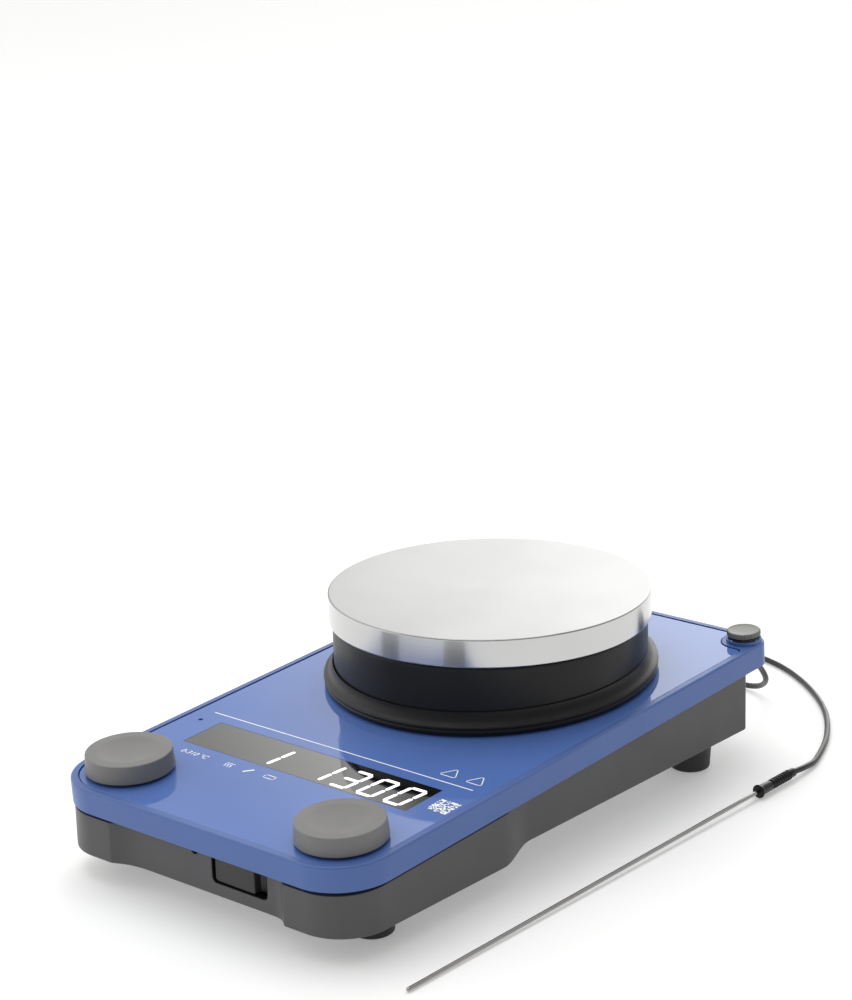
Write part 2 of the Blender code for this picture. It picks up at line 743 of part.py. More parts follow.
def motor():
    at = (0, PLATE_Y, 0)
    low, high = MOTOR_Z
    shell = [
        (0.0, low),
        (MOTOR_RADIUS, low),
        (MOTOR_RADIUS, high),
        (MOTOR_RADIUS - 2.5, high),
        (MOTOR_RADIUS - 2.5, low + 2.5),
        (9.0, low + 2.5),
        (9.0, low + 6.0),
        (6.6, low + 6.0),
        (6.6, low + 1.2),
        (0.0, low + 1.2),
    ]
    place("motor_housing", turned(shell, 36, closed=False), STEEL, at)
    place("motor_stator", turned([(13.5, 27), (27.2, 27), (27.2, 38), (13.5, 38)], 36), COPPER, at)
    place("lower_bearing", turned([(3.3, 21.5), (6.3, 21.5), (6.3, 25.7), (3.3, 25.7)], 24), STEEL, at)
    rotor = [
        (0, 22),
        (SHAFT_RADIUS, 22),
        (SHAFT_RADIUS, 27.5),
        (13.0, 27.5),
        (13.0, 37.5),
        (SHAFT_RADIUS, 37.5),
        (SHAFT_RADIUS, 58),
        (0, 58),
    ]
    place("motor_rotor", turned(rotor, 24, closed=False), STEEL, at)
    under, over = BRACKET_Z
    hub = [
        (5.0, under),
        (34.0, under),
        (34.0, over),
        (11.0, over),
        (11.0, 49.0),
        (8.3, 49.0),
        (8.3, over),
        (5.0, over),
    ]
    bracket = place("motor_bracket", turned(hub, 36), ALUMINIUM, at)
    arms = bmesh.new()
    for side in (-1, 1):
        prism(rectangle(30, 24, 0, (side * 45, 0)), under - 0.05, over + 0.05, shape=arms)
    join(bracket, arms, at)
    pads = ((54.0, PLATE_Y), (-54.0, PLATE_Y))
    join(bracket, pegs(pads, 4.0, under + 1, plane_height(-DECK_WALL - GAP)))
    place("upper_bearing", turned([(3.3, 43.9), (8.0, 43.9), (8.0, 48.7), (3.3, 48.7)], 24), STEEL, at)
    yoke = place("magnet_yoke", prism(rectangle(74, 22, 4), 52, 55), STEEL, at)
    cut(yoke, pegs([(0, 0)], SHAFT_RADIUS + GAP, 50, 57, 24), at)
    for index, side in enumerate((-1, 1)):
        magnet = pegs([(side * MAGNET_OFFSET, 0)], MAGNET_RADIUS, 55.3, 64.3, 24)
        place(f"drive_magnet_{index + 1}", magnet, MAGNET, at)


def electronics():
    place("main_board", prism(rectangle(132, 64, 2, (0, -28)), BOARD_Z, BOARD_Z + 1.6), BOARD_GREEN)
    module = prism(rectangle(32, 60, 2, (-52, 46)), COVER_TOP + GAP, 37.0, bevel=0.5)
    place("power_module", module, BLACK_PLASTIC)
    sink = place("heat_sink", box((36, 16, COVER_TOP + GAP), (68, 76, 35)), ALUMINIUM)
    grooves = bmesh.new()
    for index in range(5):
        left = 39.0 + 5.6 * index
        box((left, 10, 21), (left + 3.0, 90, 40), grooves)
    cut(sink, grooves)


# ---------------------------------------------------------------- probe


def cord_route():
    """The cord from the plug at the rear, down to the table and round the corner to the boot."""
    return [
        (SOCKET_X, PLUG_END + GAP, SOCKET_Z),
        (SOCKET_X, PLUG_END + 10, SOCKET_Z - 0.6),
        (SOCKET_X - 2, 170, 23.0),
        (46, 181, 12.5),
        (35, 190, 4.4),
        (19, 194, CORD_Z),
        (-2, 195, CORD_Z),
        (-22, 198, CORD_Z),
        (-35, 206, CORD_Z),
        (-38, 218, CORD_Z),
        (-27, 229, CORD_Z),
        (-6, 232, CORD_Z),
        (22, 226, CORD_Z),
        (48, 211, CORD_Z),
        (72, 189, CORD_Z),
        (90, 163, CORD_Z),
        (101, 138, CORD_Z),
        (PROBE_X - 0.4, 126, 2.6),
        (PROBE_X, PROBE_TIP_Y + PROBE_ROD_LENGTH + BOOT_LENGTH + GAP, BOOT_FLANGE + GAP + 0.27),
    ]


def smooth_points(route, spacing):
    """Points read at an even spacing from a smooth curve through the route's own points."""
    points = [Vector(point) for point in route]
    padded = [points[0] * 2 - points[1], *points, points[-1] * 2 - points[-2]]
    dense = []
    for index in range(1, len(padded) - 2):
        before, start, end, after = padded[index - 1 : index + 3]
        for step in range(20):
            t = step / 20
            dense.append(
                0.5
                * (
                    2 * start
                    + (end - before) * t
                    + (2 * before - 5 * start + 4 * end - after) * t**2
                    + (3 * start - before - 3 * end + after) * t**3
                )
            )
    dense.append(points[-1])
    length = sum((b - a).length for a, b in zip(dense, dense[1:]))
    pieces = max(2, round(length / spacing))
    spaced = [dense[0]]
    travelled = 0.0
    for a, b in zip(dense, dense[1:]):
        travelled += (b - a).length
        if travelled >= length * len(spaced) / pieces and len(spaced) < pieces:
            spaced.append(b)
    spaced.append(dense[-1])
    return spaced


def probe():
    plug = [
        (0.0, -10.0),
        (4.5, -10.0),
        (4.5, 2.8),
        (7.3, 2.8),
        (7.6, 3.2),
        (7.6, 14.0),
        (6.2, 17.0),
        (3.2, 18.4),
        (2.8, PLUG_END - BASE_REAR),
        (0.0, PLUG_END - BASE_REAR),
    ]
    shape = turned_along_y(plug, 28, closed=False)
    place("probe_plug", shape, BLACK_PLASTIC, (SOCKET_X, BASE_REAR, SOCKET_Z))

    curve = bpy.data.curves.new("probe_cord", "CURVE")
    curve.dimensions = "3D"
    curve.bevel_depth = CORD_RADIUS * MM
    curve.bevel_resolution = 2
    curve.use_fill_caps = True
    points = smooth_points(cord_route(), 2.2 * 2 * CORD_RADIUS)
    spline = curve.splines.new("POLY")
    spline.points.add(len(points) - 1)
    for target, point in zip(spline.points, points):
        target.co = (*(point * MM), 1.0)
    curve.materials.append(BLACK_RUBBER)
    cord = bpy.data.objects.new("probe_cord", curve)
    bpy.context.scene.collection.objects.link(cord)

    axis_z = BOOT_FLANGE + GAP
    lean = math.atan((axis_z - PROBE_ROD_RADIUS - GAP) / PROBE_ROD_LENGTH)
    line = frame("probe_line", (PROBE_X, PROBE_TIP_Y + PROBE_ROD_LENGTH, axis_z), lean)
    rod = [(0, -PROBE_ROD_LENGTH), (0.4, -PROBE_ROD_LENGTH), (0.7, -PROBE_ROD_LENGTH + 0.2)]
    rod += [(PROBE_ROD_RADIUS, -PROBE_ROD_LENGTH + 0.6), (PROBE_ROD_RADIUS, 0), (0, 0)]
    place("probe_rod", turned_along_y(rod, 24, closed=False), STEEL, parent=line)
    boot = [(0, GAP), (BOOT_FLANGE - 0.3, GAP), (BOOT_FLANGE, 0.8), (BOOT_FLANGE - 0.3, 1.5)]
    boot += [(BOOT_RADIUS + 0.1, 2.0), (BOOT_RADIUS, 8.9)]
    for index in range(BOOT_RIBS):
        start = 9.0 + RIB_PITCH * index
        boot += [(1.6, start + 0.35), (BOOT_RADIUS, start + RIB_PITCH - 0.35)]
    boot += [(1.9, 23.2), (1.9, BOOT_LENGTH), (0, BOOT_LENGTH)]
    place("probe_boot", turned_along_y(boot, 14, closed=False), BLACK_RUBBER, parent=line)


top_housing()
top_panel()
display()
base_housing()
bottom_cover()
feet()
base_screws()
knob("heat", -1)
knob("speed", 1)
safety_trimmer()
power_switch()
rear_panel()
stand_rod()
hotplate()
skirt()
motor()
electronics()
probe()
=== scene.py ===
"""The looks of a heating magnetic stirrer with its temperature probe.

Sizes are in millimetres and become metres when a mesh is placed. Pieces on the sloping deck are
drawn in its own frame: x across, s up the slope, h off the deck.
"""

import json
import math
import random

import bmesh
import bpy
from mathutils import Matrix, Vector


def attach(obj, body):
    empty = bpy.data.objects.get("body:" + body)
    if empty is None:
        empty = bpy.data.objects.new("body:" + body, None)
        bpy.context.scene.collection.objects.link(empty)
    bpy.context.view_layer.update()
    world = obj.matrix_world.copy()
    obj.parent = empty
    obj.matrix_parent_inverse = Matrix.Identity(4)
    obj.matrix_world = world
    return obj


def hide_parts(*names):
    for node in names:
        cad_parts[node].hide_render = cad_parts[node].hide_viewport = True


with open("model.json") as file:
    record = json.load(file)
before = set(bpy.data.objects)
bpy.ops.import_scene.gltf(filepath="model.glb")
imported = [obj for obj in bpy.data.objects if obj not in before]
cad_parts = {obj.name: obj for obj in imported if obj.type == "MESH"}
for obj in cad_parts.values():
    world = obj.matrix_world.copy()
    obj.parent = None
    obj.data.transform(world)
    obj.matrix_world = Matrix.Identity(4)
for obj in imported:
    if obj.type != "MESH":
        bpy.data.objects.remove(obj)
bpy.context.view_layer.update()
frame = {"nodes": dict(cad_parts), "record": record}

MM = 0.001
SLOPE = math.radians(3.0)
PLATE_Y = 43.5
DECK_Z = 48.0
DECK_FRONT = -178.745
DECK_REAR = 91.09
DECK_THICKNESS = 10.2
BODY_WIDTH = 160.0
PANEL_RIM = 3.0
PANEL_GROOVE = 0.5
PANEL_TOP = -0.3
SEAM = 1.5
ROD_X = 71.3
ROD_S = 83.0
ROD_NOTCH = 9.3
FRONT_CORNER = 23.5
REAR_CORNER = 8.0
TUB_CORNER = 16.0
TUB_REAR_CORNER = 2.5
LEG_CORNER = 20.5
FOOT_X = 60.4
COLLAR = 1.5
KNOB_X = 56.5
KNOB_S = -155.0
POSTS = ((66.6, -86.0), (66.6, 87.0), (-66.6, -86.0), (-66.6, 87.0))
SWITCH_X = 20.3
SWITCH_Z = 21.4
INLET_X = -38.0
INLET_Z = 28.0
FUSE_X = -22.0
TRIMMER = (-68.5, -104.4)
WINDOW = (0.7, -112.9)
HOUSING_X = 75.2
LEG_X = 78.4
LEG_FRONT = -133.4
RECESS_Y = -129.5
REAR_Y = 124.0
LEG_END = -44.5
LEG_BLEND = 19.5
LEG_BOTTOM = 10.0
UNDERSIDE = 13.7
WALL_THICKNESS = 3.4
GAP = 0.3
DECK = Matrix.Translation((0, PLATE_Y, DECK_Z)) @ Matrix.Rotation(SLOPE, 4, "X")
WORLD = Matrix.Identity(4)
ARC_STEP = math.radians(3)
SHARP_ANGLE = 30


# ---------------------------------------------------------------- camera


def aim_camera():
    azimuth, elevation, roll = (math.radians(a) for a in (41.3692, 16.4251, -1.7386))
    target = Vector((-205.660, 238.841, 40.0))
    distance = 1405.447
    level = math.cos(elevation)
    back = Vector((math.sin(azimuth) * level, -math.cos(azimuth) * level, math.sin(elevation)))
    across = Vector((0, 0, 1)).cross(back).normalized()
    up = back.cross(across)
    turned_across = across * math.cos(roll) + up * math.sin(roll)
    turned_up = up * math.cos(roll) - across * math.sin(roll)
    data = bpy.data.cameras.new("camera")
    data.lens = 96.804
    data.sensor_width = 36
    data.clip_start = 0.05
    data.clip_end = 50
    camera = bpy.data.objects.new("camera", data)
    bpy.context.scene.collection.objects.link(camera)
    place_at = Matrix((turned_across, turned_up, back)).transposed().to_4x4()
    place_at.translation = (target + back * distance) * MM
    camera.matrix_world = place_at
    bpy.context.scene.camera = camera


aim_camera()


# ---------------------------------------------------------------- outlines


def rounded(corners, step_angle=ARC_STEP):
    """An outline through corners (x, y, radius), each radius drawn as an arc."""
    points = []
    for index, (x, y, radius) in enumerate(corners):
        here = Vector((x, y))
        if not radius:
            points.append((x, y))
            continue
        back = (Vector(corners[index - 1][:2]) - here).normalized()
        onward = (Vector(corners[(index + 1) % len(corners)][:2]) - here).normalized()
        half = math.acos(max(-1.0, min(1.0, back.dot(onward)))) / 2
        centre = here + (back + onward).normalized() * (radius / math.sin(half))
        start = here + back * (radius / math.tan(half)) - centre
        end = here + onward * (radius / math.tan(half)) - centre
        sweep = math.atan2(start.x * end.y - start.y * end.x, start.dot(end))
        steps = max(2, math.ceil(abs(sweep) / step_angle))
        first = math.atan2(start.y, start.x)
        for step in range(steps + 1):
            angle = first + sweep * step / steps
            points.append((centre.x + radius * math.cos(angle), centre.y + radius * math.sin(angle)))
    return points


def rectangle(width, length, radius=0.0, centre=(0, 0)):
    x, y = centre
    a, b = width / 2, length / 2
    corners = [(x - a, y - b), (x + a, y - b), (x + a, y + b), (x - a, y + b)]
    return rounded([(*corner, radius) for corner in corners])


def circle(radius, segments, centre=(0, 0)):
    angles = (2 * math.pi * index / segments for index in range(segments))
    return [(centre[0] + radius * math.cos(a), centre[1] + radius * math.sin(a)) for a in angles]


def inset(outline, distance):
    """The outline, anticlockwise, drawn in by a short distance."""
    moved = []
    count = len(outline)
    for index in range(count):
        before, here, after = (Vector(outline[i % count]) for i in (index - 1, index, index + 1))
        first = (here - before).normalized()
        second = (after - here).normalized()
        normal = (Vector((-first.y, first.x)) + Vector((-second.y, second.x))).normalized()
        lean = max(0.5, normal.dot(Vector((-first.y, first.x))))
        moved.append(tuple(here + normal * (distance / lean)))
    return moved


def panel_outline(margin):
    """The deck's outline drawn in by margin, with the notch around the stand-rod hole."""
    side = BODY_WIDTH / 2 - margin
    front = DECK_FRONT + margin
    rear = DECK_REAR - margin
    notch = ROD_NOTCH + margin - PANEL_RIM
    left = ROD_X - notch
    low = ROD_S - notch
    corners = [(-side, front, FRONT_CORNER - margin), (side, front, FRONT_CORNER - margin)]
    corners += [(side, low, 2.4), (left, low, notch), (left, rear, 2.4)]
    corners.append((-side, rear, REAR_CORNER - margin))
    return rounded(corners)


# ---------------------------------------------------------------- meshes


def place(
    name, shape, look, matrix=WORLD, body="base", stands_for=(), angle=SHARP_ANGLE, flat=False
):
    """Turns a bmesh in millimetres into a named piece in metres that rides on a body."""
    bmesh.ops.transform(shape, matrix=Matrix.Scale(MM, 4) @ matrix, verts=shape.verts)
    mesh = bpy.data.meshes.new(name)
    shape.to_mesh(mesh)
    shape.free()
    if not flat:
        mesh.shade_smooth()
        mesh.set_sharp_from_angle(angle=math.radians(angle))
    if look:
        mesh.materials.append(look)
    piece = bpy.data.objects.new(name, mesh)
    bpy.context.scene.collection.objects.link(piece)
    if body:
        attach(piece, body)
    if stands_for:
        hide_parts(*stands_for)
    return piece


def carve(piece, cuts=(), joins=(), keeps=()):
    """Cuts shapes from a piece, joins them to it, or keeps what lies in them.

    Each shape is a pair of a bmesh in millimetres and its matrix.
    """
    helpers = []
    for operation, shapes in (("DIFFERENCE", cuts), ("UNION", joins), ("INTERSECT", keeps)):
        for shape, matrix in shapes:
            helper = place("helper", shape, None, matrix, body=None)
            modifier = piece.modifiers.new("carve", "BOOLEAN")
            modifier.operation = operation
            modifier.solver = "EXACT"
            modifier.object = helper
            helpers.append(helper)
    bpy.context.view_layer.update()
    graph = bpy.context.evaluated_depsgraph_get()
    made = bpy.data.meshes.new_from_object(piece.evaluated_get(graph))
    piece.modifiers.clear()
    old = piece.data
    look = old.materials[0] if old.materials else None
    made.name = old.name
    piece.data = made
    made.materials.clear()
    if look:
        made.materials.append(look)
    made.polygons.foreach_set("material_index", [0] * len(made.polygons))
    made.shade_smooth()
    made.set_sharp_from_angle(angle=math.radians(SHARP_ANGLE))
    bpy.data.meshes.remove(old)
    for helper in helpers:
        bpy.data.objects.remove(helper)


def even_shading(piece):
    piece.modifiers.new("even_shading", "WEIGHTED_NORMAL").keep_sharp = True


def loft(rings, closed=False, shape=None):
    """Skin over rings of points (x, y, z), each ring with the same count. An open one gets end caps."""
    shape = shape or bmesh.new()
    made = [[shape.verts.new(point) for point in ring] for ring in rings]
    faces = []
    count = len(rings[0])
    pairs = list(zip(made, made[1:]))
    if closed:
        pairs.append((made[-1], made[0]))
    else:
        faces += [shape.faces.new(list(reversed(made[0]))), shape.faces.new(made[-1])]
    for low, high in pairs:
        for index in range(count):
            follow = (index + 1) % count
            faces.append(shape.faces.new((low[index], low[follow], high[follow], high[index])))
    bmesh.ops.recalc_face_normals(shape, faces=faces)
    return shape


def block(outline, low, high, top=0.0, bottom=0.0, steps=3, shape=None):
    """An extruded outline with rounded top and bottom edges.

    low and high are heights or functions of (x, y).
    """
    floor = low if callable(low) else lambda x, y: low
    roof = high if callable(high) else lambda x, y: high
    rings = []
    for step in range(steps + 1) if bottom else ():
        angle = math.pi / 2 * step / steps
        edge = inset(outline, bottom * (1 - math.sin(angle)))
        lift = bottom * (1 - math.cos(angle))
        rings.append([(x, y, floor(x, y) + lift) for x, y in edge])
    if not bottom:
        rings.append([(x, y, floor(x, y)) for x, y in outline])
    for step in range(steps + 1) if top else ():
        angle = math.pi / 2 * step / steps
        edge = inset(outline, top * (1 - math.cos(angle)))
        drop = top * (1 - math.sin(angle))
        rings.append([(x, y, roof(x, y) - drop) for x, y in edge])
    if not top:
        rings.append([(x, y, roof(x, y)) for x, y in outline])
    return loft(rings, shape=shape)


def turned(profile, segments, closed=True):
    """A profile of (radius, height) points turned about Z. An open one starts and ends on the axis."""
    made = bmesh.new()
    verts = [made.verts.new((radius, 0, height)) for radius, height in profile]
    edges = [made.edges.new(pair) for pair in zip(verts, verts[1:])]
    if closed:
        edges.append(made.edges.new((verts[-1], verts[0])))
    bmesh.ops.spin(
        made,
        geom=verts + edges,
        cent=(0, 0, 0),
        axis=(0, 0, 1),
        angle=2 * math.pi,
        steps=segments,
        use_merge=True,
    )
    bmesh.ops.remove_doubles(made, verts=made.verts, dist=0.0001)
    bmesh.ops.recalc_face_normals(made, faces=made.faces)
    return made


def eased(profile, steps=3):
    """A turned profile; a third value of a point is how far its corner is eased."""
    points = []
    for index, entry in enumerate(profile):
        if len(entry) == 2:
            points.append(entry)
            continue
        here = Vector(entry[:2])
        before = Vector(profile[index - 1][:2])
        after = Vector(profile[(index + 1) % len(profile)][:2])
        reach = min(entry[2], (before - here).length * 0.49, (after - here).length * 0.49)
        start = here + (before - here).normalized() * reach
        end = here + (after - here).normalized() * reach
        for step in range(steps + 1):
            t = step / steps
            points.append(tuple(start * (1 - t) ** 2 + here * 2 * t * (1 - t) + end * t**2))
    return points


ALONG_Y = Matrix(((1, 0, 0, 0), (0, 0, 1, 0), (0, -1, 0, 0), (0, 0, 0, 1)))
FACING_FRONT = Matrix(((1, 0, 0, 0), (0, 0, -1, 0), (0, 1, 0, 0), (0, 0, 0, 1)))
FACING_REAR = Matrix(((-1, 0, 0, 0), (0, 0, 1, 0), (0, 1, 0, 0), (0, 0, 0, 1)))


def at(x, y, z=0.0, base=WORLD):
    return base @ Matrix.Translation((x, y, z))


def plane_height(h):
    """The world height, over any (x, y), of the plane that lies h off the deck."""
    return lambda x, y: DECK_Z + (y - PLATE_Y) * math.tan(SLOPE) + h / math.cos(SLOPE)


def leg_wall(edge, recess, steps=12):
    """The wall from a leg's crisp edge into the recess, which it meets gently."""
    points = []
    for index in range(1, steps):
        part = index / steps
        x = edge[0] + (recess[0] - edge[0]) * part
        points.append((x, recess[1] + (edge[1] - recess[1]) * (1 - part) ** 2.6))
    return points


def s_curve(start, end, steps):
    """Points between two ends of a wall that runs along y and shifts gently in x."""
    points = []
    for index in range(1, steps):
        part = index / steps
        smooth = part * part * (3 - 2 * part)
        points.append((start[0] + (end[0] - start[0]) * smooth, start[1] + (end[1] - start[1]) * part))
    return points


# ---------------------------------------------------------------- materials


def shader_of(name):
    material = bpy.data.materials.new(name)
    material.use_nodes = True
    tree = material.node_tree
    return material, tree, tree.nodes["Principled BSDF"]


def link_value(tree, source, target, low, high, start=0.3, stop=0.7):
    """Maps a grey value to a range and feeds it to a socket."""
    ranged = tree.nodes.new("ShaderNodeMapRange")
    ranged.inputs["From Min"].default_value = start
    ranged.inputs["From Max"].default_value = stop
    ranged.inputs["To Min"].default_value = low
    ranged.inputs["To Max"].default_value = high
    tree.links.new(source, ranged.inputs["Value"])
    tree.links.new(ranged.outputs["Result"], target)


def noise(tree, scale, detail=2.0, stretch=(1, 1, 1), offset=(0, 0, 0)):
    coordinates = tree.nodes.new("ShaderNodeTexCoord")
    mapping = tree.nodes.new("ShaderNodeMapping")
    mapping.inputs["Scale"].default_value = stretch
    mapping.inputs["Location"].default_value = offset
    made = tree.nodes.new("ShaderNodeTexNoise")
    made.inputs["Scale"].default_value = scale
    made.inputs["Detail"].default_value = detail
    tree.links.new(coordinates.outputs["Object"], mapping.inputs["Vector"])
    tree.links.new(mapping.outputs["Vector"], made.inputs["Vector"])
    return made.outputs["Fac"]


def bumped(tree, shader, source, strength, depth):
    bump = tree.nodes.new("ShaderNodeBump")
    bump.inputs["Strength"].default_value = strength
    bump.inputs["Distance"].default_value = depth
    tree.links.new(source, bump.inputs["Height"])
    tree.links.new(bump.outputs["Normal"], shader.inputs["Normal"])


def tinted(tree, shader, source, colour, change):
    """Varies the colour about its middle value by a small share, following a grey value."""
    mix = tree.nodes.new("ShaderNodeMix")
    mix.data_type = "RGBA"
    darker = tuple(max(0.0, c * (1 - change)) for c in colour)
    lighter = tuple(min(1.0, c * (1 + change)) for c in colour)
    mix.inputs["A"].default_value = (*darker, 1)
    mix.inputs["B"].default_value = (*lighter, 1)
    link_value(tree, source, mix.inputs["Factor"], 0.0, 1.0)
    tree.links.new(mix.outputs["Result"], shader.inputs["Base Color"])


def plastic(name, colour, roughness, grain, bump, change, spread=0.05, ior=1.48):
    """Moulded plastic, rubber or paint: a fine grain, and colour and gloss that drift slightly."""
    material, tree, shader = shader_of(name)
    drift = noise(tree, 28.0, 3.0)
    tinted(tree, shader, drift, colour, change)
    clouds = noise(tree, 60.0, 4.0, offset=(3, 1, 7))
    link_value(tree, clouds, shader.inputs["Roughness"], roughness - spread, roughness + spread)
    bumped(tree, shader, noise(tree, grain, 2.0), bump, 0.0002)
    shader.inputs["IOR"].default_value = ior
    return material


def metal(name, colour, roughness, stretch=(1, 1, 1), scale=300.0, bump=0.1):
    """Bare metal, brushed where stretch is uneven."""
    material, tree, shader = shader_of(name)
    streaks = noise(tree, scale, 4.0, stretch)
    tinted(tree, shader, streaks, colour, 0.08)
    link_value(tree, streaks, shader.inputs["Roughness"], roughness - 0.06, roughness + 0.06)
    bumped(tree, shader, streaks, bump, 0.0001)
    shader.inputs["Metallic"].default_value = 1.0
    return material


def polished(name, colour, roughness, anisotropy, edge_tint=1.0, metallic=1.0):
    """Turned and polished metal: faint rings about the hotplate's axis, and light wipe marks."""
    material, tree, shader = shader_of(name)
    coordinates = tree.nodes.new("ShaderNodeTexCoord")
    mapping = tree.nodes.new("ShaderNodeMapping")
    mapping.inputs["Location"].default_value = (0, -PLATE_Y * MM, 0)
    wave = tree.nodes.new("ShaderNodeTexWave")
    wave.wave_type = "RINGS"
    wave.rings_direction = "Z"
    wave.inputs["Scale"].default_value = 420.0
    wave.inputs["Distortion"].default_value = 1.2
    wave.inputs["Detail"].default_value = 3.0
    wave.inputs["Detail Scale"].default_value = 2.0
    tree.links.new(coordinates.outputs["Object"], mapping.inputs["Vector"])
    tree.links.new(mapping.outputs["Vector"], wave.inputs["Vector"])
    tinted(tree, shader, noise(tree, 18.0, 3.0), colour, 0.03)
    wiped = noise(tree, 26.0, 5.0, offset=(5, 2, 1))
    link_value(tree, wiped, shader.inputs["Roughness"], roughness - 0.025, roughness + 0.03)
    bumped(tree, shader, wave.outputs["Fac"], 0.02, 0.00004)
    shader.inputs["Metallic"].default_value = metallic
    shader.inputs["Anisotropic"].default_value = anisotropy
    shader.inputs["Anisotropic Rotation"].default_value = 0.25
    shader.inputs["Specular Tint"].default_value = (edge_tint, edge_tint, edge_tint, 1)
    tangent = tree.nodes.new("ShaderNodeTangent")
    tangent.direction_type = "RADIAL"
    tangent.axis = "Z"
    tree.links.new(tangent.outputs["Tangent"], shader.inputs["Tangent"])
    return material


def glowing(name, colour, strength):
    material, tree, shader = shader_of(name)
    tinted(tree, shader, noise(tree, 400.0), colour, 0.03)
    shader.inputs["Emission Color"].default_value = (*colour, 1)
    shader.inputs["Emission Strength"].default_value = strength
    shader.inputs["Roughness"].default_value = 0.4
    return material


def fibrous(name, colour):
    """Pressed mineral wool."""
    material, tree, shader = shader_of(name)
    strands = noise(tree, 240.0, 8.0, (1, 1, 4))
    tinted(tree, shader, strands, colour, 0.15)
    bumped(tree, shader, strands, 0.8, 0.0006)
    shader.inputs["Roughness"].default_value = 0.95
    return material


def circuit(name):
    """A circuit board: green resist over paler tracks."""
    material, tree, shader = shader_of(name)
    coordinates = tree.nodes.new("ShaderNodeTexCoord")
    brick = tree.nodes.new("ShaderNodeTexBrick")
    brick.inputs["Scale"].default_value = 120.0
    brick.inputs["Color1"].default_value = (0.015, 0.13, 0.05, 1)
    brick.inputs["Color2"].default_value = (0.02, 0.18, 0.06, 1)
    brick.inputs["Mortar"].default_value = (0.05, 0.30, 0.12, 1)
    brick.inputs["Mortar Size"].default_value = 0.04
    tree.links.new(coordinates.outputs["Object"], brick.inputs["Vector"])
    tree.links.new(brick.outputs["Color"], shader.inputs["Base Color"])
    bumped(tree, shader, brick.outputs["Fac"], 0.2, 0.0001)
    shader.inputs["Roughness"].default_value = 0.35
    return material


def windings(name, colour):
    """Wound copper wire."""
    material, tree, shader = shader_of(name)
    coordinates = tree.nodes.new("ShaderNodeTexCoord")
    wave = tree.nodes.new("ShaderNodeTexWave")
    wave.bands_direction = "Z"
    wave.inputs["Scale"].default_value = 320.0
    wave.inputs["Distortion"].default_value = 0.6
    tree.links.new(coordinates.outputs["Object"], wave.inputs["Vector"])
    tinted(tree, shader, wave.outputs["Fac"], colour, 0.25)
    bumped(tree, shader, wave.outputs["Fac"], 0.6, 0.0004)
    shader.inputs["Metallic"].default_value = 1.0
    shader.inputs["Roughness"].default_value = 0.35
    return material


PAINT = plastic("cover_paint", (0.084, 0.154, 0.405), 0.36, grain=1400, bump=0.05, change=0.03, ior=1.38)
GLOSS = plastic(
    "panel_gloss", (0.104, 0.196, 0.530), 0.05, grain=90, bump=0.004, change=0.03, spread=0.015, ior=1.52
)
GLASS = plastic(
    "display_glass", (0.006, 0.006, 0.006), 0.04, grain=90, bump=0.003, change=0.1, spread=0.012, ior=2.7
)
BASE = plastic("base_plastic", (0.083, 0.082, 0.086), 0.42, grain=2600, bump=0.10, change=0.04, ior=1.42)
KNOB = plastic("knob_plastic", (0.212, 0.210, 0.207), 0.5, grain=2600, bump=0.12, change=0.03, ior=1.4)
CAP = plastic("cap_plastic", (0.265, 0.265, 0.250), 0.45, grain=2200, bump=0.12, change=0.05, ior=1.4)
SKIRT = plastic("skirt_plastic", (0.012, 0.012, 0.012), 0.38, grain=1800, bump=0.05, change=0.1, ior=1.32)
RUBBER = plastic("rubber", (0.020, 0.020, 0.021), 0.52, grain=1800, bump=0.15, change=0.12)
CORD_RUBBER = plastic(
    "cord_rubber", (0.006, 0.006, 0.006), 0.3, grain=2600, bump=0.03, change=0.1, ior=1.38
)
BLACK = plastic("black_plastic", (0.012, 0.012, 0.013), 0.4, grain=2000, bump=0.1, change=0.1)
# Black plastic of the switch surround, made darker and duller than the other black plastic: partly the real
# black moulding, partly painted shade so the switch recess reads as deep shadow.
SHADED_RECESS = plastic("recess_painted_shade", (0.006, 0.006, 0.006), 0.75, grain=2000, bump=0.1, change=0.1, ior=1.2)
ROCKER = plastic("rocker_plastic", (0.022, 0.022, 0.021), 0.4, grain=2600, bump=0.08, change=0.05)
# One aluminium disc in two materials. The side's brushed, turned finish is real. The top's darker,
# part-metallic colour with greyed tint is painted shade that keeps the top below the side.
PLATE_TOP_SHADED = polished("polished_plate", (0.365, 0.368, 0.366), 0.2, 0.3, edge_tint=0.75, metallic=0.75)
PLATE_EDGE = polished("turned_edge", (0.57, 0.57, 0.57), 0.17, 0.75)
STEEL = metal("steel", (0.55, 0.55, 0.56), 0.28, (1, 1, 12), 200)
ROD_STEEL = metal("rod_steel", (0.40, 0.39, 0.375), 0.16, (1, 0.05, 1), 900, bump=0.05)
SHEET_STEEL = metal("sheet_steel", (0.42, 0.42, 0.43), 0.4, (8, 1, 1), 160)
ALUMINIUM = metal("aluminium", (0.66, 0.66, 0.67), 0.38, (1, 6, 1), 220)
BRASS = metal("brass", (0.72, 0.52, 0.24), 0.28)
NICKEL = metal("nickel", (0.60, 0.58, 0.55), 0.2)
WIRE = windings("copper_wire", (0.62, 0.30, 0.16))
BOARD = circuit("circuit_board")
WOOL = fibrous("mineral_wool", (0.72, 0.70, 0.64))
CERAMIC = plastic("ceramic", (0.74, 0.72, 0.67), 0.6, grain=1200, bump=0.15, change=0.04)
# White print on the panel with a faint emission: the colour is the real print, and the glow is painted
# light that lifts it above how it is lit.
GLOWING_PRINT = glowing("white_print_glow", (0.92, 0.93, 0.94), 0.12)
DIGITS = glowing("display_digits", (0.95, 0.97, 0.98), 0.9)


# ---------------------------------------------------------------- the probe's cord, made first

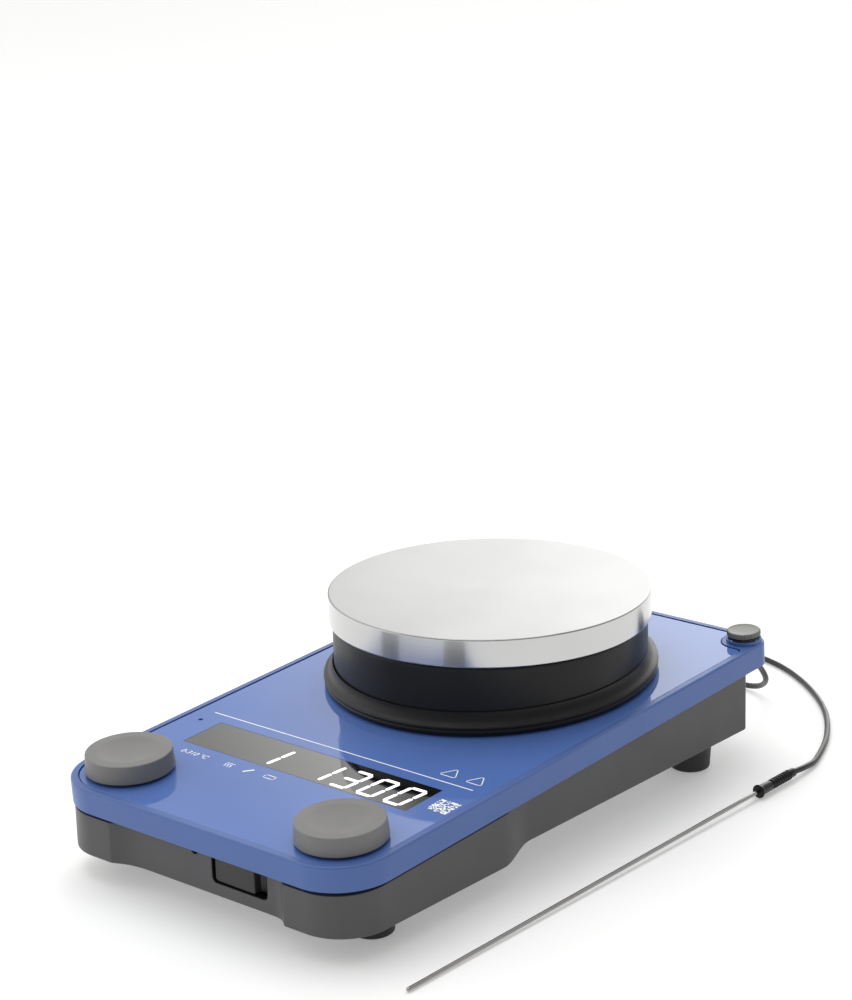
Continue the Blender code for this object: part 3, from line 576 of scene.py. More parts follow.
PROBE_X = 104.0
PROBE_TIP_Y = -131.0
ROD_LENGTH = 220.0
ROD_RADIUS = 0.85
BOOT_LENGTH = 26.6
BOOT_RADIUS = 2.2
BOOT_FLANGE = 3.0
CORD_RADIUS = 1.3
CORD_Z = CORD_RADIUS + GAP
SOCKET_X = 52.0
SOCKET_Z = 29.0
PLUG_END = 150.0
BOOT_END_Y = PROBE_TIP_Y + ROD_LENGTH + BOOT_LENGTH

ROUTE = [
    (SOCKET_X, PLUG_END + GAP, SOCKET_Z),
    (SOCKET_X, PLUG_END + 10, SOCKET_Z - 0.6),
    (SOCKET_X - 2, 170, 23.0),
    (46, 181, 12.5),
    (35, 190, 4.4),
    (19, 194, CORD_Z),
    (-2, 195, CORD_Z),
    (-22, 198, CORD_Z),
    (-35, 206, CORD_Z),
    (-38, 218, CORD_Z),
    (-27, 229, CORD_Z),
    (-6, 232, CORD_Z),
    (22, 226, CORD_Z),
    (48, 211, CORD_Z),
    (72, 189, CORD_Z),
    (90, 163, CORD_Z),
    (101, 138, CORD_Z),
    (PROBE_X - 0.4, 126, 2.6),
    (PROBE_X, BOOT_END_Y + GAP, BOOT_FLANGE + GAP + 0.27),
]


def smooth_points(route, spacing):
    """Points at about even spacing along a smooth curve through the route."""
    points = [Vector(point) for point in route]
    padded = [points[0] * 2 - points[1], *points, points[-1] * 2 - points[-2]]
    dense = []
    for index in range(1, len(padded) - 2):
        before, start, end, after = padded[index - 1 : index + 3]
        for step in range(20):
            t = step / 20
            bend = 2 * before - 5 * start + 4 * end - after
            twist = 3 * start - before - 3 * end + after
            dense.append(0.5 * (2 * start + (end - before) * t + bend * t**2 + twist * t**3))
    dense.append(points[-1])
    length = sum((b - a).length for a, b in zip(dense, dense[1:]))
    count = max(2, round(length / spacing))
    spaced = [dense[0]]
    travelled = 0.0
    for a, b in zip(dense, dense[1:]):
        travelled += (b - a).length
        if travelled >= length * len(spaced) / count and len(spaced) < count:
            spaced.append(b)
    spaced.append(dense[-1])
    return spaced


def probe_cord():
    points = smooth_points(ROUTE, 2.6)
    curve = bpy.data.curves.new("probe_lead", "CURVE")
    curve.dimensions = "3D"
    curve.bevel_depth = CORD_RADIUS * MM
    curve.bevel_resolution = 6
    curve.use_fill_caps = True
    spline = curve.splines.new("POLY")
    spline.points.add(len(points) - 1)
    for target, point in zip(spline.points, points):
        target.co = (*(point * MM), 1.0)
    spline.use_smooth = True
    curve.materials.append(CORD_RUBBER)
    lead = bpy.data.objects.new("probe_lead", curve)
    bpy.context.scene.collection.objects.link(lead)
    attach(lead, "base")
    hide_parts("probe_cord")
    return lead, sum((b - a).length for a, b in zip(points, points[1:])) * MM


def probe():
    lead, length = probe_cord()
    socket = at(SOCKET_X, REAR_Y, SOCKET_Z) @ ALONG_Y
    plug = [(0.0, -10.0), (4.5, -10.0), (4.5, 2.8), (7.3, 2.8, 0.4), (7.6, 4.0, 0.3)]
    plug += [(7.6, 13.6, 1.5), (6.0, 17.0, 1.0), (3.1, 18.2, 0.6), (3.1, 20.0), (2.7, 20.3)]
    plug += [(2.7, 21.1), (3.0, 21.4), (3.0, 22.2), (2.6, 22.5), (2.6, 23.3), (2.9, 23.6)]
    plug += [(2.9, 24.4), (2.5, 24.7), (2.4, PLUG_END - REAR_Y), (0.0, PLUG_END - REAR_Y)]
    shape = turned(eased(plug), 64, closed=False)
    shell = place("probe_plug_shell", shape, BLACK, socket, "base", ("probe_plug",))
    grips = bmesh.new()
    for index in range(24):
        angle = 2 * math.pi * index / 24
        spot = (7.75 * math.cos(angle), 7.75 * math.sin(angle))
        block(circle(0.42, 8, spot), 5.0, 12.8, shape=grips)
    carve(shell, [(grips, socket)])
    even_shading(shell)

    axis_z = BOOT_FLANGE + GAP
    lean = math.atan((axis_z - ROD_RADIUS - GAP) / ROD_LENGTH)
    line = at(PROBE_X, PROBE_TIP_Y + ROD_LENGTH, axis_z) @ Matrix.Rotation(lean, 4, "X") @ ALONG_Y
    stem = frame["nodes"]["probe_rod"]
    stem.data.materials.clear()
    stem.data.materials.append(ROD_STEEL)
    boot = [(0, GAP), (BOOT_FLANGE - 0.4, GAP, 0.2), (BOOT_FLANGE, 0.8, 0.3), (BOOT_FLANGE - 0.4, 1.6, 0.3)]
    boot += [(BOOT_RADIUS + 0.1, 2.1, 0.4), (BOOT_RADIUS - 0.05, 8.8, 0.4)]
    for index in range(8):
        start = 9.0 + 1.75 * index
        boot += [(1.55, start + 0.2, 0.15), (1.55, start + 0.65, 0.15)]
        boot += [(2.2, start + 0.95, 0.25), (2.2, start + 1.65, 0.25)]
    boot += [(1.6, 23.05, 0.15), (1.92, 23.4, 0.3), (1.9, BOOT_LENGTH, 0.35), (0, BOOT_LENGTH)]
    shape = turned(eased(boot), 48, closed=False)
    sleeve = place("probe_sleeve", shape, CORD_RUBBER, line, "base", ("probe_boot",))
    tuple(c * MM for c in ROUTE[0])


probe()


# ---------------------------------------------------------------- cover and panel


def shaft_holes(low, high):
    """A new shape that cuts the holes for the two knobs' shafts."""
    holes = bmesh.new()
    for side in (-1, 1):
        block(circle(3.6, 32, (side * KNOB_X, KNOB_S)), low, high, shape=holes)
    return holes


def deck_cover():
    side = BODY_WIDTH / 2
    corners = [(-side, DECK_FRONT, FRONT_CORNER), (side, DECK_FRONT, FRONT_CORNER)]
    corners += [(side, DECK_REAR, REAR_CORNER), (-side, DECK_REAR, REAR_CORNER)]
    shape = block(rounded(corners), -DECK_THICKNESS, 0, top=0.9, bottom=0.25, steps=4)
    cover = place("deck_cover", shape, PAINT, DECK, "base", ("top_housing",))
    recess = block(panel_outline(PANEL_RIM), -1.8, 2)
    pocket = block(tub_outline(0), 10, plane_height(-3.0))
    holes = shaft_holes(-6, 3)
    block(rectangle(112, 16, 0, (0.7, -113.1)), -6, 3, shape=holes)
    block(circle(1.4, 24, TRIMMER), -6, 3, shape=holes)
    block(circle(6.7, 48, (ROD_X, ROD_S)), -12, 3, shape=holes)
    opening = block(circle(45.0, 96, (0, PLATE_Y)), 20, 60)
    carve(cover, [(recess, DECK), (pocket, WORLD), (holes, DECK), (opening, WORLD)])
    bush = turned([(6.7, -9.6), (8.2, -9.6), (8.2, -2.0), (6.7, -2.0)], 48)
    collar = turned(eased([(6.7, -1.0), (7.5, -1.0), (7.5, COLLAR, 0.3), (6.7, COLLAR, 0.2)]), 64)
    carve(cover, (), [(bush, at(ROD_X, ROD_S, 0, DECK)), (collar, at(ROD_X, ROD_S, 0, DECK))])
    even_shading(cover)


def tub_outline(margin):
    """The plain box of the base without its legs, drawn in by margin."""
    side = HOUSING_X - margin
    front = RECESS_Y + margin
    rear = REAR_Y - margin
    back_radius = max(TUB_REAR_CORNER - margin, 1.0)
    corners = [(-side, front, TUB_CORNER - margin), (side, front, TUB_CORNER - margin)]
    corners += [(side, rear, back_radius), (-side, rear, back_radius)]
    return rounded(corners)


def top_panel():
    shape = block(panel_outline(PANEL_RIM + PANEL_GROOVE), -1.5, PANEL_TOP, top=0.22, steps=3)
    panel = place("gloss_panel", shape, GLOSS, DECK, "base", ("top_panel",))
    holes = shaft_holes(-3, 2)
    block(rectangle(119.3, 21.7, 0.4, WINDOW), -3, 2, shape=holes)
    block(circle(1.0, 24, TRIMMER), -3, 2, shape=holes)
    block(circle(60.0, 128), -3, 2, shape=holes)
    carve(panel, [(holes, DECK)])
    even_shading(panel)


def strip(shape, points, width, low, high, closed=False):
    """A thin raised line along points (x, s)."""
    line = [Vector(point) for point in points]
    following = line[1:] + line[:1] if closed else line[1:]
    for start, end in zip(line, following):
        along = (end - start).normalized()
        side = Vector((-along.y, along.x)) * width / 2
        reach = along * width * (0.5 if closed else 0.0)
        corners = [start - side - reach, end - side + reach, end + side + reach, start + side - reach]
        block([tuple(c) for c in corners], low, high, shape=shape)


def lettering(name, text, size, spot):
    """Numbers and units printed on the panel, as a thin mesh."""
    curve = bpy.data.curves.new(name, "FONT")
    curve.body = text
    curve.size = size * MM
    curve.extrude = 0.00001
    curve.resolution_u = 3
    label = bpy.data.objects.new(name, curve)
    bpy.context.scene.collection.objects.link(label)
    bpy.context.view_layer.update()
    graph = bpy.context.evaluated_depsgraph_get()
    mesh = bpy.data.meshes.new_from_object(label.evaluated_get(graph))
    bpy.data.objects.remove(label)
    slant = Matrix(((1, 0.2, 0, 0), (0, 1, 0, 0), (0, 0, 1, 0), (0, 0, 0, 1)))
    metres = DECK.copy()
    metres.translation = metres.translation * MM
    spot_in_metres = Matrix.Translation(Vector((*spot, PANEL_TOP + 0.028)) * MM)
    mesh.transform(metres @ spot_in_metres @ slant)
    mesh.materials.clear()
    mesh.materials.append(GLOWING_PRINT)
    piece = bpy.data.objects.new(name, mesh)
    bpy.context.scene.collection.objects.link(piece)
    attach(piece, "base")


def markings():
    """Thin printed lines and plain marks on the panel."""
    low, high = PANEL_TOP + 0.005, PANEL_TOP + 0.04
    lines = bmesh.new()
    strip(lines, [(-68.5, -96.0), (70.0, -96.0)], 0.52, low, high)
    for x in (53.1, 66.1):
        corners = [(x - 4.1, -91.3), (x + 4.1, -91.3), (x, -84.4)]
        triangle = rounded([(*corner, 0.8) for corner in corners], math.radians(20))
        strip(lines, triangle, 0.42, low, high, closed=True)
    for index in range(3):
        x = -28.0 + 1.5 * index
        wave = [(x + 0.4 * math.sin(t * 1.25), -132.0 + 0.5 * t) for t in range(8)]
        strip(lines, wave, 0.4, low, high)
    strip(lines, [(-17.4, -131.9), (-14.3, -128.3)], 0.9, low, high)
    strip(lines, rectangle(5.4, 2.4, 0.8, (-4.5, -130.0)), 0.4, low, high, closed=True)
    place("panel_marks", lines, GLOWING_PRINT, DECK, "base", flat=True)
    modules = bmesh.new()
    draw = random.Random(5)
    cells = 15
    cell = 9.8 / cells
    for row in range(cells):
        for column in range(cells):
            if draw.random() < 0.56:
                x, s = 65.0 + cell * column, -118.0 + cell * row
                square = [(x, s), (x + cell, s), (x + cell, s + cell), (x, s + cell)]
                block(square, low, high, shape=modules)
    place("panel_pattern", modules, GLOWING_PRINT, DECK, "base", flat=True)
    lettering("label_heat", "0-310 °C", 3.9, (-53.0, -131.6))
    lettering("label_speed", "0-1500 1/min", 3.5, (31.0, -131.4))


# ---------------------------------------------------------------- display

# Each segment's ends, as shares of a digit's width and height.
SEGMENTS = {
    "a": ((0, 1), (1, 1)),
    "b": ((1, 0.5), (1, 1)),
    "c": ((1, 0), (1, 0.5)),
    "d": ((0, 0), (1, 0)),
    "e": ((0, 0), (0, 0.5)),
    "f": ((0, 0.5), (0, 1)),
    "g": ((0, 0.5), (1, 0.5)),
}
LIT = {"0": "abcdef", "1": "bc", "3": "abcdg"}


def segment_digit(shape, digit, left):
    """A seven-segment digit whose lit segments are bars with round ends."""
    width, height, thick, slant, low = 7.6, 14.6, 1.7, 0.13, -121.5
    for key in LIT[digit]:
        (x0, y0), (x1, y1) = SEGMENTS[key]
        start = Vector((left + x0 * width + slant * y0 * height, low + y0 * height))
        end = Vector((left + x1 * width + slant * y1 * height, low + y1 * height))
        along = (end - start).normalized()
        start += along * thick * 0.62
        end -= along * thick * 0.62
        turn = math.atan2(along.y, along.x)
        bar = []
        for centre, first in ((start, turn + math.pi / 2), (end, turn - math.pi / 2)):
            for step in range(9):
                angle = first + math.pi * step / 8
                bar.append((centre.x + thick / 2 * math.cos(angle), centre.y + thick / 2 * math.sin(angle)))
        block(bar, PANEL_TOP + 0.01, PANEL_TOP + 0.05, shape=shape)


def display():
    window = block(rectangle(119.0, 21.4, 0.3, WINDOW), -1.5, PANEL_TOP, top=0.1, steps=2)
    even_shading(place("display_pane", window, GLASS, DECK, "base", ("display_window",)))
    digits = bmesh.new()
    segment_digit(digits, "1", -22.0)
    for index, digit in enumerate("1300"):
        segment_digit(digits, digit, 5.5 + 13.8 * index)
    place("display_digits", digits, DIGITS, DECK, "base", flat=True)


# ---------------------------------------------------------------- knobs


def knob(name, side):
    spot = at(side * KNOB_X, KNOB_S, 0, DECK)
    dish = [(0.0, 7.45), (3.0, 7.47), (6.0, 7.56), (8.5, 7.75), (10.4, 8.02), (11.8, 8.27, 0.9)]
    rim = [(13.0, 8.4, 0.6), (17.3, 8.4, 0.55), (17.9, 0.9, 0.45), (15.6, 0.9, 0.3), (15.2, 5.9, 0.3)]
    hub = [(5.6, 5.9, 0.3), (5.6, 1.2), (3.3, 1.2), (3.3, 6.3), (0.0, 6.3)]
    shape = turned(eased(dish + rim + hub, steps=5), 128, closed=False)
    stands_for = (f"{name}_knob",)
    piece = place(f"{name}_knob_cap", shape, KNOB, spot, f"{name}_turn", stands_for, angle=40)
    even_shading(piece)


# ---------------------------------------------------------------- hotplate


def hotplate():
    spot = at(0, PLATE_Y)
    plate = [(0.0, 85.0), (40.0, 85.0), (67.5, 85.0, 0.7), (67.5, 73.0, 0.7)]
    plate += [(64.6, 73.0, 0.4), (64.6, 79.5), (0.0, 79.5)]
    shape = turned(eased(plate, steps=4), 256, closed=False)
    piece = place("hotplate_disc", shape, PLATE_TOP_SHADED, spot, "base", ("hotplate",))
    # Upright faces get the side material, and the rest get the darker top: this split of colour by facing
    # is painted shade.
    piece.data.materials.append(PLATE_EDGE)
    for face in piece.data.polygons:
        face.material_index = 1 if abs(face.normal.z) < 0.5 else 0
    even_shading(piece)
    wall = [(64.0, 40.0), (66.0, 40.0), (66.0, 70.5), (65.9, 72.0, 0.5), (65.3, 72.7, 0.3), (64.0, 72.7)]
    shape = turned(eased(wall), 192)
    skirt = place("heater_skirt", shape, SKIRT, spot, "base", ("plate_skirt",))
    below_deck = block(rectangle(200, 200, 0, (0, PLATE_Y)), 20, plane_height(GAP))
    carve(skirt, [(below_deck, WORLD)])
    even_shading(skirt)
    gasket = [(66.3, 9.3), (66.55, 9.3, 0.1), (66.65, 8.4, 0.4), (67.1, 6.8, 0.8), (68.2, 5.3, 0.8)]
    gasket += [(69.7, 4.5, 0.6), (70.35, 4.0, 0.3), (70.4, 3.3, 0.3), (69.9, 2.9, 0.3)]
    gasket += [(69.9, 2.6, 0.3), (70.25, 2.2, 0.4), (70.2, 1.4, 0.5), (69.4, 0.25, 0.3), (66.3, 0.25)]
    shape = turned(eased(gasket, steps=4), 192)
    ring = place("skirt_ring", shape, SKIRT, DECK, "base", ("skirt_gasket",), angle=50)
    even_shading(ring)


# ---------------------------------------------------------------- base


def base_outline():
    """The tub between its front legs, anticlockwise from the recess at the front."""
    outline = [(-28.0, RECESS_Y), (36.5, RECESS_Y)]
    outline += reversed(leg_wall((46.5, LEG_FRONT), (36.5, RECESS_Y)))
    outline += [(46.0, LEG_FRONT + 0.4), (46.9, LEG_FRONT)]
    outline += rounded([(0, LEG_FRONT, 0), (LEG_X, LEG_FRONT, LEG_CORNER), (LEG_X, 0, 0)])[1:-1]
    outline.append((LEG_X, LEG_END))
    outline += s_curve((LEG_X, LEG_END), (HOUSING_X, LEG_END + LEG_BLEND), 14)
    outline += [(HOUSING_X, LEG_END + LEG_BLEND), (HOUSING_X, 20.0), (HOUSING_X, 70.0)]
    outline += rear_corner((HOUSING_X, 0, 0), (HOUSING_X, REAR_Y, TUB_REAR_CORNER), (0, REAR_Y, 0))
    outline += rear_corner((0, REAR_Y, 0), (-HOUSING_X, REAR_Y, TUB_REAR_CORNER), (-HOUSING_X, 0, 0))
    outline += [(-HOUSING_X, 70.0), (-HOUSING_X, 20.0), (-HOUSING_X, LEG_END + LEG_BLEND)]
    outline += s_curve((-HOUSING_X, LEG_END + LEG_BLEND), (-LEG_X, LEG_END), 14)
    outline.append((-LEG_X, LEG_END))
    outline += rounded([(-LEG_X, 0, 0), (-LEG_X, LEG_FRONT, LEG_CORNER), (0, LEG_FRONT, 0)])[1:-1]
    outline += [(-46.9, LEG_FRONT), (-46.2, LEG_FRONT + 0.2)]
    outline += leg_wall((-46.5, LEG_FRONT), (-28.0, RECESS_Y), 14)
    return outline


def rear_corner(*corners):
    return rounded(corners, math.radians(12))[1:-1]


def nearest_on_tub(point, margin):
    """The nearest point of the plain tub outline, drawn in by margin, to a point outside it."""
    x, y = point
    side = HOUSING_X - margin
    front, rear = RECESS_Y + margin, REAR_Y - margin
    radius = TUB_CORNER - margin if y < 0 else max(TUB_REAR_CORNER - margin, 1.0)
    inner_x = max(-side + radius, min(side - radius, x))
    inner_y = max(front + radius, min(rear - radius, y))
    away = Vector((x - inner_x, y - inner_y))
    if away.length < 1e-6:
        return (x, y)
    away.normalize()
    return (inner_x + away.x * radius, inner_y + away.y * radius)


def under_height(x, y):
    """How high the base's lower edge is: low at the legs, then rising to the rear."""
    part = max(0.0, min(1.0, (y - LEG_END) / LEG_BLEND))
    return LEG_BOTTOM + (UNDERSIDE - LEG_BOTTOM) * part * part * (3 - 2 * part)


def base_housing():
    outline = base_outline()
    seam = plane_height(-DECK_THICKNESS - SEAM)
    rounding = 0.7
    rings = []
    for step in range(5):
        angle = math.pi / 2 * step / 4
        edge = inset(outline, rounding * (1 - math.sin(angle)))
        lift = rounding * (1 - math.cos(angle))
        rings.append([(x, y, under_height(x, y) + lift) for x, y in edge])
    for part in (0.35, 0.7):
        rings.append([(x, y, under_height(x, y) * (1 - part) + seam(x, y) * part) for x, y in outline])
    rings.append([(x, y, seam(x, y) - 0.35) for x, y in outline])
    rings.append([(x, y, seam(x, y) - 0.1) for x, y in inset(outline, 0.1)])
    rings.append([(x, y, seam(x, y)) for x, y in inset(outline, 0.35)])
    lip = plane_height(-3.3)
    inner = ((seam, 0.6), (lip, 0.6), (lip, WALL_THICKNESS), (under_height, WALL_THICKNESS))
    for height, margin in inner:
        ring = [nearest_on_tub(point, margin) for point in outline]
        rings.append([(x, y, height(x, y)) for x, y in ring])
    shape = loft(rings, closed=True)
    housing = place("base_shell", shape, BASE, WORLD, "base", ("base_housing",))
    boss = block(circle(8.8, 48, (ROD_X, ROD_S)), -11.5, 5)
    switch = block(rectangle(29.2, 12.2, 2.5, (SWITCH_X, SWITCH_Z)), 120, 135)
    block(circle(2.0, 32, (-3.2, 26.2)), 120, 135, shape=switch)
    rear = block(rectangle(43, 21, 0, (-INLET_X, INLET_Z)), -5, 10)
    block(circle(7.4, 48, (-SOCKET_X, SOCKET_Z)), -5, 10, shape=rear)
    cuts = [
        (boss, DECK),
        (switch, FACING_FRONT),
        (rear, at(0, REAR_Y) @ FACING_REAR),
    ]
    posts = bmesh.new()
    for x, y in POSTS:
        block(circle(6.0, 32, (x, y)), 15.5, plane_height(-3.6), shape=posts)
    carve(housing, cuts, [(posts, WORLD)])
    even_shading(housing)


# ---------------------------------------------------------------- feet and screws


def feet():
    sole = [(0.0, 5.0), (3.0, 5.0), (3.2, 0.5), (3.8, 0.0, 0.3), (7.4, 0.0, 0.4), (8.5, 0.8, 0.5)]
    sole += [(9.4, UNDERSIDE), (0.0, UNDERSIDE)]
    for side, sign in (("left", -1), ("right", 1)):
        for end, y in (("front", -100.8), ("rear", 102.1)):
            shape = turned(eased(sole), 64, closed=False)
            name = f"foot_{end}_{side}"
            spot = at(sign * FOOT_X, y)
            even_shading(place(f"{name}_pad", shape, RUBBER, spot, "base", (name,)))


def screws():
    under = UNDERSIDE
    shank = [(0, under - 1.7), (2.5, under - 1.7, 0.3), (3.1, under - 0.9, 0.3), (3.1, under)]
    shank += [(1.4, under), (1.4, 33), (0, 33)]
    names = ("front_right", "rear_right", "front_left", "rear_left")
    for name, (x, y) in zip(names, POSTS):
        shape = turned(eased(shank), 48, closed=False)
        stands_for = (f"base_screw_{name}",)
        piece = place(f"housing_screw_{name}", shape, STEEL, at(x, y), "base", stands_for)
        cross = block(rectangle(3.2, 0.8, 0.2), under - 3, under - 0.9)
        block(rectangle(0.8, 3.2, 0.2), under - 3, under - 0.9, shape=cross)
        carve(piece, [(cross, at(x, y))])
        even_shading(piece)


# ---------------------------------------------------------------- power switch


def power_switch():
    facing = at(SWITCH_X, 0, SWITCH_Z) @ FACING_FRONT
    shape = block(rectangle(31.6, 12.7, 1.0, (0, 0.45)), 108.0, 125.8, top=0.3)
    # The switch body and its rim wear the black with painted shade.
    body = place("switch_body", shape, SHADED_RECESS, facing, "base", ("power_switch_body",))
    cavity = block(rectangle(29.4, 11.8, 2.3, (0, 0.0)), 117.5, 128.0)
    carve(body, [(cavity, facing)])
    even_shading(body)
    rim = block(rectangle(29.0, 12.1, 2.4), 125.9, 129.4, top=0.25)
    liner = place("switch_rim", rim, SHADED_RECESS, facing, "base")
    carve(liner, [(block(rectangle(28.3, 11.3, 2.1), 120, 135), facing)])
    even_shading(liner)
    pivot = at(SWITCH_X, -124.5, SWITCH_Z)
    wedge = [(-13.4, -4.4, 0.5), (7.4, -4.6, 0.6), (8.0, -1.3, 1.2), (13.4, -0.5, 0.6)]
    wedge += [(13.4, 1.5, 0.5), (2.5, 4.2, 1.0), (-2.5, 4.2, 1.0), (-13.4, -0.6, 0.5)]
    shape = block(rounded(wedge, math.radians(10)), -5.1, 5.1)
    rocker = place("rocker_cap", shape, ROCKER, pivot, "rocker", ("power_rocker",))
    limits = block(rectangle(26.8, 10.2, 1.9), 112, 136)
    carve(rocker, keeps=[(limits, facing)])
    bevel = rocker.modifiers.new("edge", "BEVEL")
    bevel.width = 0.00025
    bevel.segments = 2
    bevel.limit_method = "ANGLE"
    even_shading(rocker)


# ---------------------------------------------------------------- rear panel


def mains_inlet():
    facing = at(INLET_X, REAR_Y, INLET_Z) @ FACING_REAR
    shape = block(rectangle(47, 24, 1.5), GAP, 2.3, top=0.5)
    shell = place("inlet_shell", shape, BLACK, facing, "base", ("power_inlet",))
    carve(shell, (), [(block(rectangle(42.4, 20.4), -22, 1.0), facing)])
    mouth = [(-12.2, -8.2, 1.0), (12.2, -8.2, 1.0), (12.2, 4.0, 1.5), (8.4, 8.2, 1.5)]
    mouth += [(-8.4, 8.2, 1.5), (-12.2, 4.0, 1.5)]
    hollow = block(rounded([(6.0 + x, z, r) for x, z, r in mouth]), -14, 5)
    drawer_hole = block(rectangle(8.6, 8.6, 0, (INLET_X - FUSE_X, 0)), -21, 5)
    carve(shell, [(hollow, facing), (drawer_hole, facing)])
    even_shading(shell)
    pins = bmesh.new()
    for x, z in ((-7, -3), (7, -3), (0, 3)):
        block(rectangle(2, 4, 0.2, (6.0 + x, z)), -14.5, -1.0, top=0.4, shape=pins)
    even_shading(place("inlet_pins", pins, NICKEL, facing, "base"))


def fuse_drawer():
    facing = at(FUSE_X, REAR_Y, INLET_Z) @ FACING_REAR
    shape = block(rectangle(8, 8, 0.3), -18.0, 3.0)
    drawer = place("fuse_carrier", shape, BLACK, facing, "fuse_drawer", ("fuse_drawer",))
    front = block(rectangle(10, 10, 1.0), 2.6, 4.4, top=0.4)
    hollow = block(rectangle(5.8, 5.8), -20.0, 1.5)
    nail = block(rectangle(6.0, 1.2, 0.5, (0, 3.4)), 3.7, 6.0)
    carve(drawer, [(hollow, facing)], [(front, facing)])
    carve(drawer, [(nail, facing)])
    even_shading(drawer)
    tube = [(0, -17.5), (2.5, -17.5, 0.2), (2.5, -12.6), (2.3, -12.6)]
    tube += [(2.3, -3.9), (2.5, -3.9), (2.5, 1.0, 0.2), (0, 1.0)]
    shape = turned(eased(tube), 32, closed=False)
    axis = at(FUSE_X, REAR_Y, INLET_Z) @ ALONG_Y
    even_shading(place("fuse_tube", shape, BRASS, axis, "fuse_drawer", ("fuse",)))


def probe_socket():
    axis = at(SOCKET_X, REAR_Y, SOCKET_Z) @ ALONG_Y
    profile = [(0.0, -14.0), (4.9, -14.0), (4.9, 2.0), (5.2, 2.4, 0.2), (9.2, 2.4, 0.3)]
    profile += [(9.6, 2.0, 0.3), (9.6, GAP), (7.0, GAP), (7.0, -18.0), (0.0, -18.0)]
    shape = turned(eased(profile), 96, closed=False)
    nut = place("probe_jack", shape, BLACK, axis, "base", ("sensor_socket",))
    grips = bmesh.new()
    for index in range(36):
        angle = 2 * math.pi * index / 36
        block(circle(0.28, 6, (9.7 * math.cos(angle), 9.7 * math.sin(angle))), 0, 3, shape=grips)
    carve(nut, [(grips, axis)])
    even_shading(nut)


# ---------------------------------------------------------------- stand-rod cap


def rod_cap():
    spot = at(ROD_X, ROD_S, 0, DECK)
    teeth, per_tooth = 44, 6

    def ring(radius, height, depth):
        points = []
        for index in range(teeth * per_tooth):
            angle = 2 * math.pi * index / (teeth * per_tooth)
            wave = 0.5 - 0.5 * math.cos(angle * teeth)
            reach = radius - depth * wave
            points.append((reach * math.cos(angle), reach * math.sin(angle), height))
        return points

    under = COLLAR + 1.2
    rings = [ring(4.6, -7.0, 0), ring(4.6, under, 0), ring(6.5, under, 0), ring(6.9, under + 0.1, 0.5)]
    rings += [ring(7.15, under + 0.3, 0.7), ring(7.2, under + 0.5, 0.75), ring(7.2, 4.45, 0.75)]
    rings += [ring(7.1, 4.72, 0.6), ring(6.9, 4.88, 0.25), ring(6.6, 4.97, 0), ring(6.3, 5.0, 0)]
    rings += [ring(6.1, 4.9, 0), ring(3.0, 4.88, 0), ring(0.4, 4.88, 0)]
    even_shading(place("stand_rod_cap", loft(rings), CAP, spot, "cap_turn", ("rod_cap",)))
    low = COLLAR + GAP
    seal = [(4.9, low), (6.7, low, 0.15), (6.7, low + 0.6, 0.15), (4.9, low + 0.6)]
    shape = turned(eased(seal), 64)
    stands_for = ("rod_cap_washer",)
    even_shading(place("stand_rod_washer", shape, RUBBER, spot, "cap_lift", stands_for))


# ---------------------------------------------------------------- pieces kept from the CAD model

BY_SLOT = {
    "black_plastic": BLACK,
    "steel": STEEL,
    "aluminium": ALUMINIUM,
    "brass": BRASS,
    "copper": WIRE,
    "magnet": NICKEL,
    "board_green": BOARD,
    "ceramic": CERAMIC,
    "black_rubber": RUBBER,
}
BY_NODE = {"bottom_cover": SHEET_STEEL, "insulation_disc": WOOL}


def dress_inner_pieces():
    for part in frame["record"]["subparts"]:
        look = BY_NODE.get(part["node"], BY_SLOT.get(part["material_slot"]))
        if look and part["node"] != "probe_rod":
            mesh = frame["nodes"][part["node"]].data
            mesh.materials.clear()
            mesh.materials.append(look)


# ---------------------------------------------------------------- floor and light


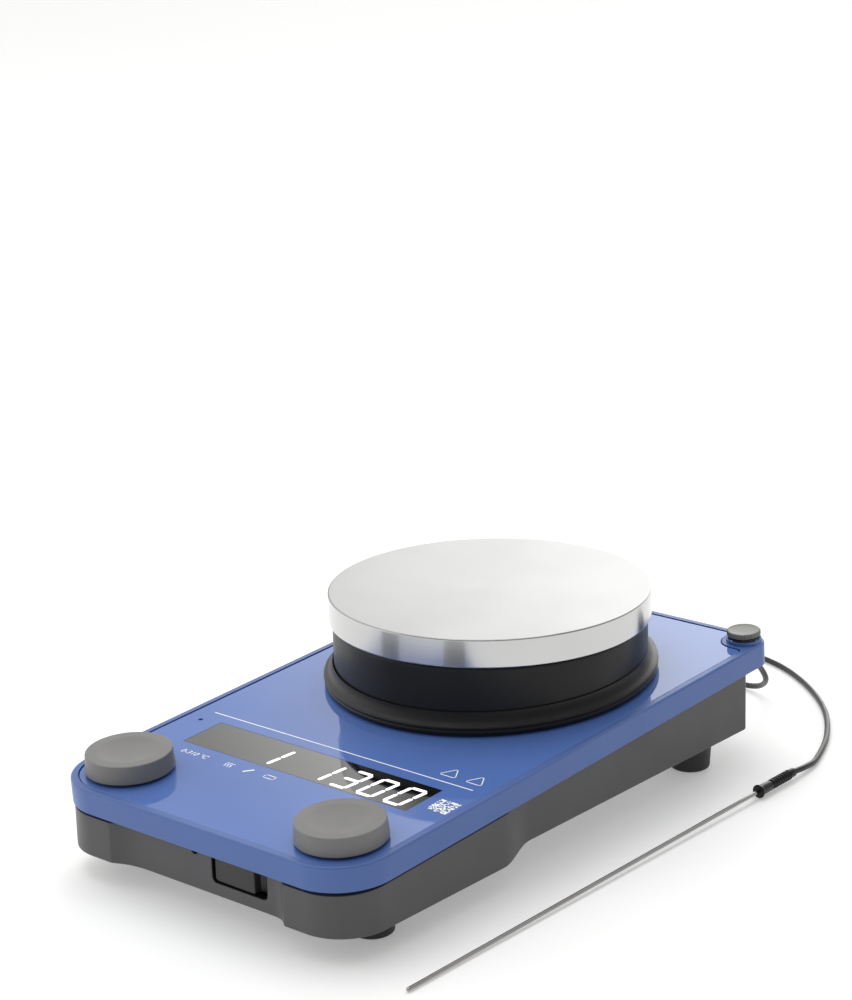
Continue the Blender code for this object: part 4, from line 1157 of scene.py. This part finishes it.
def floor():
    shape = block(circle(9000, 96), -20, 0)
    material, tree, shader = shader_of("white_table")
    tinted(tree, shader, noise(tree, 3.0), (0.86, 0.86, 0.855), 0.004)
    bumped(tree, shader, noise(tree, 700.0), 0.02, 0.0001)
    shader.inputs["Roughness"].default_value = 0.7
    shader.inputs["Specular IOR Level"].default_value = 0.15
    shader.inputs["Emission Color"].default_value = (1, 1, 1, 1)
    shader.inputs["Emission Strength"].default_value = 0.26
    place("table", shape, material, WORLD, body=None)


def soft_light(name, size, spot, aim, power):
    data = bpy.data.lights.new(name, "AREA")
    data.shape = "RECTANGLE"
    data.size, data.size_y = size
    data.energy = power
    light = bpy.data.objects.new(name, data)
    bpy.context.scene.collection.objects.link(light)
    light.location = spot
    light.rotation_euler = (Vector(aim) - Vector(spot)).to_track_quat("-Z", "Y").to_euler()


# Each glow of the dome: the direction of its middle, the cosines where it starts and is full, its strength.
GLOWS = (
    ((-0.80, 0.50, 0.30), -0.50, 0.75, 0.43),
    ((-0.95, -0.30, 0.15), 0.60, 0.95, 0.80),
    ((-0.39, 0.875, 0.285), 0.91, 0.985, 2.40),
)
DOME = 0.37


def surroundings():
    """A pale dome, bright behind on the left and dim in front on the right."""
    world = bpy.data.worlds.new("studio")
    bpy.context.scene.world = world
    world.use_nodes = True
    tree = world.node_tree
    background = tree.nodes["Background"]
    background.inputs["Color"].default_value = (1.0, 0.997, 0.985, 1)
    coordinates = tree.nodes.new("ShaderNodeTexCoord")
    total = None
    for middle, start, full, strength in GLOWS:
        towards = tree.nodes.new("ShaderNodeVectorMath")
        towards.operation = "DOT_PRODUCT"
        towards.inputs[1].default_value = middle
        tree.links.new(coordinates.outputs["Generated"], towards.inputs[0])
        adding = tree.nodes.new("ShaderNodeMath")
        adding.operation = "ADD"
        adding.inputs[1].default_value = DOME
        link_value(tree, towards.outputs["Value"], adding.inputs[0], 0.0, strength, start, full)
        if total:
            tree.links.new(total.outputs["Value"], adding.inputs[1])
        total = adding
    tree.links.new(total.outputs["Value"], background.inputs["Strength"])


for build in (
    deck_cover,
    top_panel,
    markings,
    display,
    hotplate,
    base_housing,
    feet,
    screws,
    power_switch,
    mains_inlet,
    fuse_drawer,
    probe_socket,
    rod_cap,
    dress_inner_pieces,
    floor,
    surroundings,
):
    build()
knob("heat", -1)
knob("speed", 1)
soft_light("overhead", (1.6, 1.6), (-0.5, 0.3, 2.0), (0, 0, 0), 15)
bpy.context.scene.view_settings.view_transform = "Standard"
